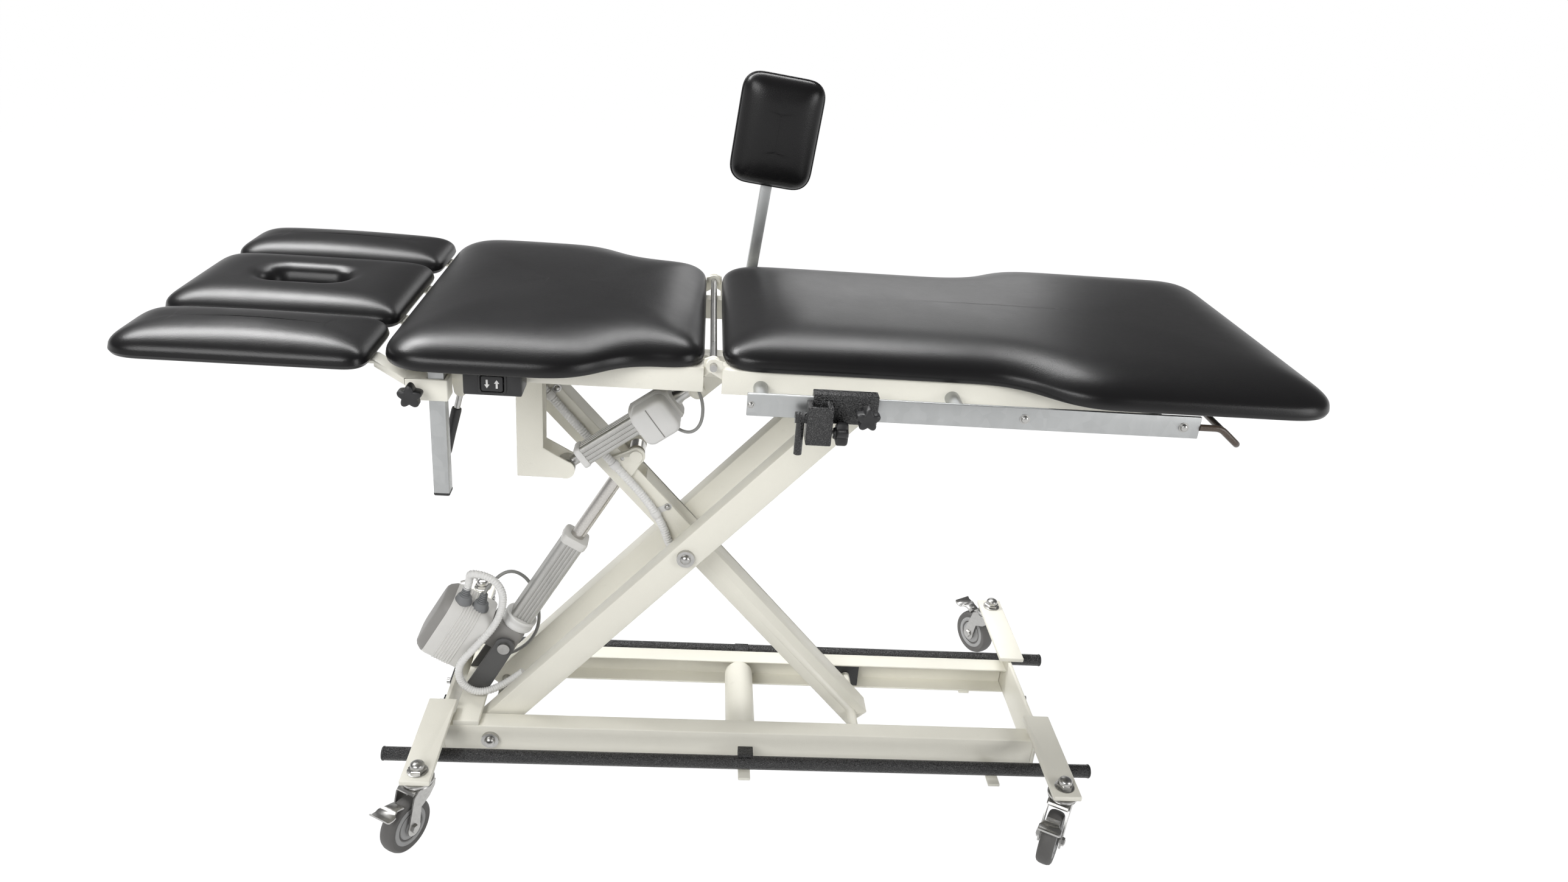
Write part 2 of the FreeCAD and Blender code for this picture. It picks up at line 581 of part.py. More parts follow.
fixings = []
for side in (-1, 1):
    low = inner_y + d.neck_gap if side > 0 else -inner_y - d.neck_gap - d.lug_thick
    edge = head_x + d.cross_length
    fixings.append(lug((edge, side_top), (edge, side_low), (pivot_x, top_z), d.lug_radius, low,
                       d.lug_thick))
fixings.append(rod((pivot_x, -inner_y - d.neck_gap, top_z), "y", (inner_y + d.neck_gap) * 2,
                   d.pivot_diameter))
back_pin = (bx + d.back_pin_x, seat_z - d.back_pin_drop)
for side in (-1, 1):
    plane = -d.back_plane
    low = plane + d.back_lug_gap / 2 if side > 0 else plane - d.back_lug_gap / 2 - d.lug_thick
    fixings.append(lug((hinge_x + d.cross_length, side_low), (hinge_x + d.cross_length * 2, side_low),
                       back_pin,
                       d.ear_radius, low, d.lug_thick))
    lug_face = d.back_lug_gap / 2 + d.lug_thick
    low = plane + lug_face if side > 0 else plane - lug_face - d.lug_thick
    fixings.append(rod((back_pin[0], low, back_pin[1]), "y", d.lug_thick, d.pin_diameter * 2))
node("top_frame", group(*frame, *channels, *fixings))


def bow(ax, aw, bx_, bw):
    """Two tangent arcs that carry a half-width from aw to bw between two stations."""
    run = abs(bx_ - ax)
    rise = abs(bw - aw)
    radius = (run * run + rise * rise) / (4 * rise)
    way = 1 if bx_ > ax else -1
    up = 1 if bw > aw else -1
    half = math.asin(run / 2 / radius) / 2
    first = (ax + way * radius * math.sin(half), aw + up * radius * (1 - math.cos(half)))
    middle = ((ax + bx_) / 2, (aw + bw) / 2)
    last = (bx_ - way * radius * math.sin(half), bw - up * radius * (1 - math.cos(half)))
    return first, middle, last


def cushion(stations, corner_a, corner_b, low, thick, round_top, hinge_end=None):
    """A padded slab from half-width stations along X, the same on both sides, with rounded top edges."""
    stations = [(float(x), float(w)) for x, w in stations]
    upper = []
    x0, w0 = stations[0]
    ra = float(corner_a)
    rb = float(corner_b)
    way = 1 if stations[-1][0] > x0 else -1
    diag = 1 - math.sqrt(0.5)
    upper.append(Part.Arc(V(x0, w0 - ra, 0), V(x0 + way * ra * diag, w0 - ra * diag, 0),
                          V(x0 + way * ra, w0, 0)))
    here = (x0 + way * ra, w0)
    for nxt in stations[1:]:
        target = nxt if nxt is not stations[-1] else (nxt[0] - way * rb, nxt[1])
        if abs(target[1] - here[1]) < 1e-6:
            upper.append(Part.LineSegment(V(here[0], here[1], 0), V(target[0], target[1], 0)))
        else:
            one, two, three = bow(here[0], here[1], target[0], target[1])
            upper.append(Part.Arc(V(here[0], here[1], 0), V(one[0], one[1], 0), V(two[0], two[1], 0)))
            upper.append(Part.Arc(V(two[0], two[1], 0), V(three[0], three[1], 0),
                                  V(target[0], target[1], 0)))
        here = target
    xe, we = stations[-1]
    upper.append(Part.Arc(V(here[0], here[1], 0), V(xe - way * rb * diag, we - rb * diag, 0),
                          V(xe, we - rb, 0)))
    edges = [item.toShape() for item in upper]
    edges.append(Part.makeLine(V(xe, we - rb, 0), V(xe, -we + rb, 0)))
    mirrored = [edge.mirror(V(0, 0, 0), V(0, 1, 0)) for edge in edges[:-1]]
    edges.extend(reversed(mirrored))
    edges.append(Part.makeLine(V(x0, -w0 + ra, 0), V(x0, w0 - ra, 0)))
    wire = Part.Wire(Part.__sortEdges__(edges))
    slab = Part.Face(wire).extrude(V(0, 0, float(thick)))
    slab.translate(V(0, 0, float(low)))
    top = float(low) + float(thick)
    rims = [e for e in slab.Edges if all(abs(v.Point.z - top) < 1e-6 for v in e.Vertexes)]
    slab = slab.makeFillet(float(round_top), rims)
    rims = [e for e in slab.Edges if all(abs(v.Point.z - float(low)) < 1e-6 for v in e.Vertexes)]
    return slab.makeFillet(float(d.under_round), rims)


leg_start = hinge_x + d.hinge_gap / 2
leg = cushion([(leg_start, d.waist_half), (d.waist_end, d.waist_half), (d.flare_end, d.leg_half),
               (d.foot_end, d.leg_half)], d.waist_corner, d.leg_corner, seat_z, d.cushion_thick,
              d.hinge_round)
node("leg_cushion", solid(leg))

# Accessory rails on spacers, and the looped bar at the foot end.
rail_top = seat_z - d.bar_rail_drop
rail_foot = d.side_rail_foot + d.bar_rail_overhang
rail_low = rail_top - d.bar_rail_height
bars = []
for side in (-1, 1):
    rail_in_y = d.bar_rail_y - d.bar_rail_thick
    low, high = (rail_in_y, d.bar_rail_y) if side > 0 else (-d.bar_rail_y, -rail_in_y)
    bars.append(box((bx + d.bar_rail_head, low, rail_low), (bx + rail_foot, high, rail_top)))
spacers = []
rail_mid = rail_top - d.bar_rail_height / 2
spacer_x = [bx + d.bar_rail_head + d.spacer_diameter, bx + d.bar_rail_head + rail_foot / 2,
            bx + d.side_rail_foot - d.spacer_diameter]
for side in (-1, 1):
    for x in spacer_x:
        length = d.bar_rail_y - d.bar_rail_thick - d.leg_angle_y
        low = d.leg_angle_y if side > 0 else -d.leg_angle_y - length
        spacers.append(rod((x, low, rail_mid), "y", length, d.spacer_diameter))
node("accessory_rails", group(*bars, *spacers))

loop_y = d.bar_rail_y - d.bar_rail_thick / 2
loop_z = rail_mid
loop_x = bx + rail_foot
foot_loop = tube_along([(loop_x, -loop_y, loop_z), (loop_x + d.loop_reach / 2, -loop_y, loop_z),
                        (loop_x + d.loop_reach, -loop_y, loop_z - d.loop_drop),
                        (loop_x + d.loop_reach, loop_y, loop_z - d.loop_drop),
                        (loop_x + d.loop_reach / 2, loop_y, loop_z), (loop_x, loop_y, loop_z)],
                       [d.loop_bend, d.loop_bend / 2, d.loop_bend / 2, d.loop_bend], d.loop_diameter)
node("foot_loop", foot_loop)

# Back section: angles, flats and ears that turn on the hinge pin, with the drop bracket below.
back_foot = hinge_x - d.hinge_gap / 2
back_head = back_foot - d.back_length
angle_head = back_head + d.back_inset
pieces = []
for side in (-1, 1):
    pieces.append(angle_bar(d.back_angle_y, angle_head, back_foot - angle_head, side))
    ear_y = d.back_angle_y - d.angle_wall - d.hinge_ear_thick - d.neck_gap * 2
    low = ear_y if side > 0 else -ear_y - d.hinge_ear_thick
    foot = back_foot - d.angle_width
    ear = lug((foot, seat_z - d.angle_height), (foot, seat_z - d.angle_wall), (hinge_x, hinge_z),
              d.hinge_ear_radius, low, d.hinge_ear_thick)
    bore = rod((hinge_x, low, hinge_z), "y", d.hinge_ear_thick, d.hinge_pin_diameter + d.fit_clear * 2)
    notch = box((foot, low, seat_z - d.angle_wall),
                (back_foot, low + d.hinge_ear_thick, seat_z + d.hinge_ear_radius * 2))
    pieces.append(cut(ear, bore, notch))
back_span = d.back_angle_y - d.angle_width
flat_low = seat_z - d.flat_thick
drop_head = bx + d.drop_head
drop_foot = bx + d.drop_foot
for low, high in ((angle_head, angle_head + d.flat_width),
                  (drop_head - d.drop_wall, drop_foot + d.drop_wall)):
    pieces.append(box((low, -back_span, flat_low), (high, back_span, seat_z)))
post_x = back_head + d.post_inset
for side in (-1, 1):
    a = d.back_angle_y * side
    b = (d.post_y + d.post_width / 2 + d.collar_wall) * side
    y_low, y_high = (b, a) if side < 0 else (a, b)
    pieces.append(box((post_x - d.post_width, y_low, seat_z - d.angle_wall),
                      (post_x + d.post_width, y_high, seat_z)))
head_pivot = (back_head - d.head_gap / 2, seat_z - d.head_hinge_drop)
for side in (-1, 1):
    low = d.head_lug_y if side > 0 else -d.head_lug_y - d.head_lug_thick
    foot_edge = head_pivot[0] + d.head_lug_reach
    ear = lug((foot_edge, flat_low), (foot_edge, flat_low - d.head_lug_radius * 2), head_pivot,
              d.head_lug_radius, low, d.head_lug_thick)
    roof = box((head_pivot[0] - d.flat_width, low, flat_low), (foot_edge, low + d.head_lug_thick, seat_z))
    pieces.append(cut(ear, roof))
hub_x = post_x + d.handle_inset
hub_z = seat_z - d.handle_drop
hub_face = -d.handle_y - d.handle_hub_width / 2
low = hub_face - d.run_clear - d.lug_thick
pieces.append(lug((hub_x - d.handle_hub, seat_z - d.angle_wall),
                  (hub_x + d.handle_hub, seat_z - d.angle_wall),
                  (hub_x, hub_z), d.handle_hub / 2, low, d.lug_thick))
pieces.append(rod((hub_x, hub_face - d.run_clear, hub_z), "y", d.handle_hub_width, d.handle_pin))
node("back_frame", group(*pieces))

back_cushion = cushion([(back_foot, d.waist_half), (back_foot - d.back_flare_start, d.waist_half),
                        (back_foot - d.back_flare_end, d.back_half), (back_head, d.back_half)],
                       d.waist_corner, d.leg_corner, seat_z, d.cushion_thick, d.hinge_round)
node("back_cushion", solid(back_cushion))

rod_pin = (bx + d.back_rod_pin_x, seat_z - d.back_rod_pin_drop)
plane = -d.back_plane
drop_low = seat_z - d.drop_reach
flanges = []
for side in (-1, 1):
    low = plane + d.drop_gap / 2 if side > 0 else plane - d.drop_gap / 2 - d.drop_wall
    flanges.append(box((drop_head, low, drop_low), (drop_foot, low + d.drop_wall, flat_low)))
    flanges.append(lug((drop_foot, seat_z - d.drop_tab_drop), (drop_foot, drop_low), rod_pin,
                       d.ear_radius, low, d.drop_wall))
web = box((drop_head, plane - d.drop_gap / 2 - d.drop_wall, drop_low),
          (drop_head + d.drop_wall, plane + d.drop_gap / 2 + d.drop_wall, flat_low))
pin = rod((rod_pin[0], plane - d.drop_gap / 2, rod_pin[1]), "y", d.drop_gap, d.pin_diameter)
node("drop_bracket", fuse(*flanges, web, pin))

posts = []
for side in (-1, 1):
    y = d.post_y * side
    posts.append(box((post_x - d.post_width / 2, y - d.post_width / 2, seat_z - d.post_drop),
                     (post_x + d.post_width / 2, y + d.post_width / 2, seat_z - d.angle_wall)))
node("arm_posts", group(*posts))

control_low = seat_z - d.angle_wall - d.control_height
control_out = d.back_angle_y + d.control_depth
control_head = post_x + d.control_inset
control_foot = control_head + d.control_length
rocker_x = (control_head + control_foot) / 2
rocker_z = control_low + d.control_height / 2
rocker_y = -control_out + d.rocker_axis
rocker_half = d.rocker_length / 2
pocket_half = rocker_half + d.run_clear
pin_half = pocket_half + d.rocker_depth
shell = box((control_head, -control_out, control_low),
            (control_foot, -d.back_angle_y, seat_z - d.angle_wall))
pocket = box((rocker_x - pocket_half, -control_out, rocker_z - d.rocker_height / 2 - d.rocker_clear),
             (rocker_x + pocket_half, -control_out + d.rocker_depth * 2,
              rocker_z + d.rocker_height / 2 + d.rocker_clear))
pin_hole = rod((rocker_x - pin_half, rocker_y, rocker_z), "x", pin_half * 2,
               d.rocker_pin + d.fit_clear * 2)
node("control_box", cut(shell, pocket, pin_hole))
key = box((rocker_x - rocker_half, -control_out - d.rocker_sink, rocker_z - d.rocker_height / 2),
          (rocker_x + rocker_half, -control_out + d.rocker_depth, rocker_z + d.rocker_height / 2))
pin_half = pin_half - d.run_clear
node("rocker", fuse(key, rod((rocker_x - pin_half, rocker_y, rocker_z), "x", pin_half * 2, d.rocker_pin)))

# Arm rests: a collar on each post carries a bar and a pad; a knob locks it.
pad_head = back_head - d.head_gap - (d.foot_end + back_head - d.head_gap)
pad_foot = back_head - d.head_gap
arm_in_y = d.head_half + d.pad_gap
collar_low = seat_z - d.collar_drop
for label, side in (("near", -1), ("far", 1)):
    y = d.post_y * side
    half = d.post_width / 2
    outer = half + d.collar_wall
    ring = box((post_x - outer, y - outer, collar_low),
               (post_x + outer, y + outer, collar_low + d.collar_height))
    gap = half + d.run_clear
    hole = box((post_x - gap, y - gap, collar_low), (post_x + gap, y + gap, collar_low + d.collar_height))
    wide = d.carrier_width / 2
    block_x = post_x - outer - d.collar_block
    block = box((block_x, y - outer, collar_low),
                (post_x - outer, y + outer, collar_low + d.collar_height))
    a = V(float(block_x), 0, float(collar_low + d.collar_height))
    b = V(float(pad_foot), 0, float(seat_z))
    drop = V(0, 0, -float(d.carrier_thick) * 2)
    rise = Part.Face(Part.makePolygon([a, b, b + drop, a + drop, a])).extrude(V(0, float(d.carrier_width),
                                                                                0))
    rise.translate(V(0, float(y - wide), 0))
    flat = box((pad_foot - d.carrier_length, y - wide, seat_z - d.carrier_thick),
               (pad_foot, y + wide, seat_z))
    node(f"{label}_arm_carrier", fuse(cut(ring, hole), block, solid(rise), flat))
    low, high = (arm_in_y, d.arm_pad_half) if side > 0 else (-d.arm_pad_half, -arm_in_y)
    middle = (arm_in_y + d.arm_pad_half) / 2
    wide = (d.arm_pad_half - arm_in_y) / 2
    pad = cushion([(pad_foot, wide), (-d.foot_end, wide)], d.head_corner / 2, d.head_corner, seat_z,
                  d.pad_thick, d.edge_round)
    pad.translate(V(0, float(middle) * side, 0))
    node(f"{label}_arm_cushion", solid(pad))
    stem_y = y + outer * side
    stem_z = collar_low + d.collar_height / 2
    low = stem_y if side > 0 else stem_y - d.knob_stem_length
    knob_x = block_x + d.collar_block / 2
    stem = rod((knob_x, low, stem_z), "y", d.knob_stem_length, d.knob_stem)
    low = stem_y + d.knob_stem_length if side > 0 else stem_y - d.knob_stem_length - d.knob_depth
    knob = rod((knob_x, low, stem_z), "y", d.knob_depth, d.knob_diameter)
    node(f"{label}_arm_knob", fuse(stem, knob))

# Head section: two bars on a hinge pin between the back frame's lugs, with the slotted pad above.
pieces = [rod((head_pivot[0], -d.head_lug_y, head_pivot[1]), "y", d.head_lug_y * 2, d.hinge_pin_diameter)]
for side in (-1, 1):
    low = d.head_lug_y - d.head_frame_bar if side > 0 else -d.head_lug_y
    low = low - d.run_clear * side
    pieces.append(box((pad_foot - d.carrier_length, low, seat_z - d.head_frame_thick),
                      (pad_foot, low + d.head_frame_bar, seat_z)))
    pieces.append(box((head_pivot[0] - d.head_lug_radius, low, head_pivot[1] - d.head_lug_radius / 2),
                      (head_pivot[0] + d.head_lug_radius / 2, low + d.head_frame_bar,
                       seat_z - d.head_frame_thick)))
node("head_frame", fuse(*pieces))
pad = cushion([(pad_foot, d.head_half), (-d.foot_end, d.head_half)], d.head_corner / 2, d.head_corner,
              seat_z,
              d.pad_thick, d.edge_round)
slot_x = (pad_foot - d.foot_end) / 2
slot_r = float(d.face_slot_width) / 2
slot_run = float(d.face_slot_length - d.face_slot_width)
hole = Part.makeBox(slot_run, slot_r * 2, float(d.pad_thick) * 2, V(-slot_run / 2, -slot_r, 0))
hole = hole.fuse(Part.makeCylinder(slot_r, float(d.pad_thick) * 2, V(-slot_run / 2, 0, 0)))
hole = hole.fuse(Part.makeCylinder(slot_r, float(d.pad_thick) * 2, V(slot_run / 2, 0, 0)))
hole.translate(V(float(slot_x), 0, float(seat_z) - float(d.pad_thick) / 2))
node("head_cushion", solid(pad.cut(hole).removeSplitter()))

hub = rod((0, -d.handle_hub_width / 2, 0), "y", d.handle_hub_width, d.handle_hub)
shank = rod((0, 0, -d.handle_length), "z", d.handle_length, d.handle_diameter)
grip = rod((0, 0, -d.handle_length), "z", d.grip_length, d.grip_diameter)
bore = rod((0, -d.handle_hub_width / 2, 0), "y", d.handle_hub_width, d.handle_pin + d.fit_clear * 2)
node("head_lever", place(cut(fuse(hub, shank, grip), bore), (hub_x, -d.handle_y, hub_z), d.handle_lean))

# Clamps on the accessory rails: jaw, swinging socket, ratchet handle and knobs.
jaw_low = rail_top - d.bar_rail_height - d.neck_gap
for label, side, jaw_x in (("near", -1, bx + d.near_jaw_x), ("far", 1, bx + d.far_jaw_x)):
    inside = d.bar_rail_y - d.bar_rail_thick - d.run_clear
    outside = d.bar_rail_y + d.run_clear
    roof = rail_top + d.run_clear

    def slab(y_in, y_out, low, high, x_low, x_high):
        a, b = (y_in, y_out) if side > 0 else (-y_out, -y_in)
        return box((x_low, a, low), (x_high, b, high))

    x_low = jaw_x - d.jaw_length / 2
    x_high = jaw_x + d.jaw_length / 2
    front = slab(outside, outside + d.jaw_wall, jaw_low, roof + d.jaw_wall, x_low, x_high)
    cap = slab(inside - d.jaw_wall, outside, roof, roof + d.jaw_wall, x_low, x_high)
    hook = slab(inside - d.jaw_wall, inside, rail_mid + d.spacer_diameter / 2 + d.side_clear, roof, x_low,
                x_high)
    face = outside + d.jaw_wall
    lean = d.leg_post_lean if side > 0 else 0
    socket_x = jaw_x + d.socket_shift
    socket_z = rail_mid - d.socket_drop
    near_y = face + d.run_clear
    far_y = near_y + d.socket_depth
    mid_y = near_y + d.socket_depth / 2
    half = d.socket_width / 2
    tall = d.socket_height / 2
    bore = d.leg_post_width / 2 + d.run_clear
    a, b = (near_y, far_y) if side > 0 else (-far_y, -near_y)
    shell = box((-half, a, -tall), (half, b, tall))
    hole = box((-bore, mid_y * side - bore, -tall), (bore, mid_y * side + bore, tall))
    stud_length = d.socket_depth / 2 - bore
    low = face if side > 0 else -face - stud_length
    stud = rod((socket_x, low, socket_z), "y", stud_length, d.socket_stud)
    jaw = fuse(front, cap, hook, stud)
    low = near_y if side > 0 else -near_y - stud_length
    eye = rod((0, low, 0), "y", stud_length, d.socket_stud + d.fit_clear * 2)
    socket = cut(shell, hole, eye)
    knob_x = jaw_x + d.jaw_length / 2 - d.knob_diameter / 2
    low = face if side > 0 else -face - d.knob_stem_length
    stem = rod((knob_x, low, rail_mid), "y", d.knob_stem_length, d.knob_stem)
    low = face + d.knob_stem_length if side > 0 else -face - d.knob_stem_length - d.knob_depth
    knob = rod((knob_x, low, rail_mid), "y", d.knob_depth, d.knob_diameter)
    hub = rod((-half - d.ratchet_hub, mid_y * side, tall / 4), "x", d.ratchet_hub, d.ratchet_hub)
    arm = rod((-half - d.ratchet_hub / 2, mid_y * side, tall / 4 - d.ratchet_length), "z",
              d.ratchet_length, d.ratchet_diameter)
    side_stem = rod((half, mid_y * side, -tall / 2), "x", d.knob_stem_length / 2, d.knob_stem)
    side_knob = rod((half + d.knob_stem_length / 2, mid_y * side, -tall / 2), "x", d.knob_depth,
                    d.knob_diameter)
    spot = (socket_x, 0, socket_z)
    if side < 0:
        node("near_clamp_socket", place(socket, spot, lean))
        node("near_clamp_jaw", jaw)
        node("near_jaw_knob", fuse(stem, knob))
        node("near_ratchet", place(fuse(hub, arm), spot, lean))
        node("near_socket_knob", place(fuse(side_stem, side_knob), spot, lean))
    else:
        node("far_clamp_socket", place(fuse(socket, hub, arm, side_stem, side_knob), spot, lean))
        node("far_clamp_jaw", fuse(jaw, stem, knob))
        post = box((-d.leg_post_width / 2, mid_y - d.leg_post_width / 2, -tall - d.leg_post_below),
                   (d.leg_post_width / 2, mid_y + d.leg_post_width / 2, d.leg_post_length))
        node("leg_support_post", place(post, spot, lean))
        depth = d.leg_pad_thick
        wide = float(d.leg_pad_width)
        tall_pad = float(d.leg_pad_height)
        pad = Part.makeBox(wide, float(depth), tall_pad,
                           V(-wide / 2, float(mid_y - d.leg_post_width / 2 - depth),
                             float(d.leg_pad_base)))
        upright = [e for e in pad.Edges if abs(e.Vertexes[0].Point.y - e.Vertexes[1].Point.y) > 1e-6]
        pad = pad.makeFillet(float(d.leg_pad_corner), upright)
        front_y = float(mid_y - d.leg_post_width / 2 - depth)
        rims = [e for e in pad.Edges if all(abs(v.Point.y - front_y) < 1e-6 for v in e.Vertexes)]
        pad = pad.makeFillet(float(d.leg_pad_corner) / 2, rims)
        node("leg_support_pad", place(solid(pad), spot, lean))

# Lift drive in its own frame: local x runs from the base pin up to the rod pin.
inner_dir = (-math.cos(math.radians(float(d.arm_angle))), math.sin(math.radians(float(d.arm_angle))))
normal_dir = (-inner_dir[1] * -1, inner_dir[0] * -1)
centre = (float(pivot_x + reach_x / 2), float(pivot_z + reach_z / 2))
lift_top = (centre[0] + inner_dir[0] * float(d.rod_pin_along) + normal_dir[0] * float(d.rod_pin_above),
            centre[1] + inner_dir[1] * float(d.rod_pin_along) + normal_dir[1] * float(d.rod_pin_above))
lift_run = (lift_top[0] - float(lift_pin[0]), lift_top[1] - float(lift_pin[1]))
lift_length = math.hypot(*lift_run)
lift_angle = math.degrees(math.atan2(lift_run[1], lift_run[0]))
lift_spot = (lift_pin[0], 0, lift_pin[1])
gear_y = d.lift_gear_width / 2
gear = box((-d.lift_gear_back, -gear_y, -d.lift_gear_half),
           (d.lift_gear_front, gear_y, d.lift_motor_near))
collar = rod((d.lift_gear_front, 0, 0), "x", d.lift_tube_start - d.lift_gear_front,
             d.lift_collar_diameter)
gear_bore = rod((0, -gear_y, 0), "y", d.lift_gear_width, d.pin_diameter + d.fit_clear * 2)
gearbox = fuse(cut(gear, gear_bore), collar)
motor_y = d.lift_motor_width / 2
node("lift_motor", place(box((-d.lift_motor_back, -motor_y, d.lift_motor_near),
                             (d.lift_gear_front, motor_y, d.lift_motor_out)),
                         lift_spot, -lift_angle))
tube_length = d.lift_tube_end - d.lift_tube_start
tube = rod((d.lift_tube_start, 0, 0), "x", tube_length, d.lift_tube_diameter)
tube_bore = rod((d.lift_tube_start, 0, 0), "x", tube_length, d.lift_rod_diameter + d.rod_bore_clear * 2)
tube_cap = rod((d.lift_tube_end - d.lift_cap_length, 0, 0), "x", d.lift_cap_length, d.lift_cap_diameter)
node("lift_tube", place(group(gearbox, cut(fuse(tube, tube_cap), tube_bore)), lift_spot, -lift_angle))
stem = rod((d.lift_rod_start, 0, 0), "x", lift_length - float(d.lift_rod_start), d.lift_rod_diameter)
eye = rod((lift_length, -d.eye_width / 2, 0), "y", d.eye_width, d.eye_diameter)
eye_bore = rod((lift_length, -d.eye_width / 2, 0), "y", d.eye_width, d.pin_diameter)
node("lift_rod", place(cut(fuse(stem, eye), eye_bore), lift_spot, -lift_angle))

# Back drive: local x runs from the bracket pin up to the lugs by the hinge.
back_run = (float(back_pin[0] - rod_pin[0]), float(back_pin[1] - rod_pin[1]))
back_length = math.hypot(*back_run)
back_angle = math.degrees(math.atan2(back_run[1], back_run[0]))
back_spot = (rod_pin[0], plane, rod_pin[1])
eye = rod((0, -d.eye_width / 2, 0), "y", d.eye_width, d.ear_radius * 2)
stem = rod((0, 0, 0), "x", d.back_rod_end, d.back_rod_diameter)
eye_bore = rod((0, -d.eye_width / 2, 0), "y", d.eye_width, d.pin_diameter + d.fit_clear * 2)
node("back_rod", place(cut(fuse(eye, stem), eye_bore), back_spot, -back_angle))
tube = rod((d.back_tube_start, 0, 0), "x", d.back_gear_start - d.back_tube_start, d.back_tube_diameter)
tube_bore = rod((d.back_tube_start, 0, 0), "x", d.back_gear_start - d.back_tube_start,
                d.back_rod_diameter + d.rod_bore_clear * 2)
gear_y = d.back_gear_width / 2
gear = box((d.back_gear_start, -gear_y, -d.back_gear_half), (d.back_gear_end, gear_y, d.back_gear_half))
neck = rod((d.back_gear_end, 0, 0), "x", back_length - float(d.back_gear_end), d.back_neck)
eye = rod((back_length, -d.eye_width / 2, 0), "y", d.eye_width, d.eye_diameter)
eye_bore = rod((back_length, -d.eye_width / 2, 0), "y", d.eye_width, d.pin_diameter)
node("back_drive", place(cut(fuse(cut(tube, tube_bore), gear, neck, eye), eye_bore), back_spot,
                         -back_angle))
middle = (d.back_gear_start + d.back_gear_end) / 2
motor = box((middle - d.back_motor_half, -d.back_motor_end + d.back_plane, -d.back_motor_half),
            (middle + d.back_motor_half, -gear_y, d.back_motor_half))
node("back_motor", place(motor, back_spot, -back_angle))

doc.recompute()
bad = [item.Name for item in doc.Objects if "Invalid" in item.State or "Error" in item.State]
for name, part in NODES.items():
    if part.Shape.isNull() or not part.Shape.isValid() or part.Shape.Volume <= 0:
        bad.append(name)
if bad:
    raise SystemExit("not built: " + ", ".join(bad))

os.makedirs("parts", exist_ok=True)
for name, part in NODES.items():
    part.Shape.exportStep(f"parts/{name}.step")
print(len(NODES), "nodes")
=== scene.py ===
# %% [markdown]
# # A hi-lo treatment table
# The solids of the table come in as a fixed frame: base on casters, scissor arms, padded top and its
# drives. This lesson dresses that frame. Hard pieces keep the shape of their solids and get rounded
# edges, while soft pieces, wheels, knobs and motor housings are built new in the same places.

# %% Load the solids
import json
import math

import bmesh
import bpy
import numpy as np
from mathutils import Matrix, Vector


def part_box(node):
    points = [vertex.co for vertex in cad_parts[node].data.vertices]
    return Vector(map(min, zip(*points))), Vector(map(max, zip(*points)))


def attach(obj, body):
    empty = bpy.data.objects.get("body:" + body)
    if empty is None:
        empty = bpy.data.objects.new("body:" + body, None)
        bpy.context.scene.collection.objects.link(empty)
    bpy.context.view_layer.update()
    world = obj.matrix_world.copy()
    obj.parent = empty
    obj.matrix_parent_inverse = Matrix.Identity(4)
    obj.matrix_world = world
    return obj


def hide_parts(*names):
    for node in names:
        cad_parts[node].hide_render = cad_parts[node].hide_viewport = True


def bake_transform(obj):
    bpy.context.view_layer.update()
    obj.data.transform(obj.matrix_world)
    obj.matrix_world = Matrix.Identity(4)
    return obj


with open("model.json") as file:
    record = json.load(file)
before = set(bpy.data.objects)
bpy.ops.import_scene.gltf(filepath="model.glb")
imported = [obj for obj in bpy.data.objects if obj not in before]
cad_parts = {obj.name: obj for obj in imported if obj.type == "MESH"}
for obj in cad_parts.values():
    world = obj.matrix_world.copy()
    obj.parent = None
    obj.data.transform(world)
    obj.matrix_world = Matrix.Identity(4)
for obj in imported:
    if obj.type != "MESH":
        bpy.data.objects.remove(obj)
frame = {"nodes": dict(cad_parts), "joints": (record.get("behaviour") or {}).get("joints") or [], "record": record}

MM = 0.001
scene = bpy.context.scene
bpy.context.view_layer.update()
joints = {joint["name"]: joint for joint in frame["joints"]}

# %% [markdown]
# ## Writing shader sums as sums
# A finish mixes patterns: grain, clouds, scuffs. Drawing every Math node by hand hides the idea, so a
# small class wraps a socket and turns `1 - mask` into a node. One more method adds any other node by its
# type.

# %% Socket sums and finishes


class Term:
    """One output socket of a shader node, which can be added, multiplied and so on."""

    def __init__(self, socket):
        self.socket = socket

    def join(self, operation, left, right):
        tree = self.socket.id_data
        node = tree.nodes.new("ShaderNodeMath")
        node.operation = operation
        for slot, item in zip(node.inputs, (left, right)):
            if isinstance(item, Term):
                tree.links.new(item.socket, slot)
            else:
                slot.default_value = item
        return Term(node.outputs[0])

    def __add__(self, other):
        return self.join("ADD", self, other)

    def __radd__(self, other):
        return self.join("ADD", other, self)

    def __sub__(self, other):
        return self.join("SUBTRACT", self, other)

    def __rsub__(self, other):
        return self.join("SUBTRACT", other, self)

    def __mul__(self, other):
        return self.join("MULTIPLY", self, other)

    def __rmul__(self, other):
        return self.join("MULTIPLY", other, self)

    def __or__(self, other):
        return self.join("MAXIMUM", self, other)


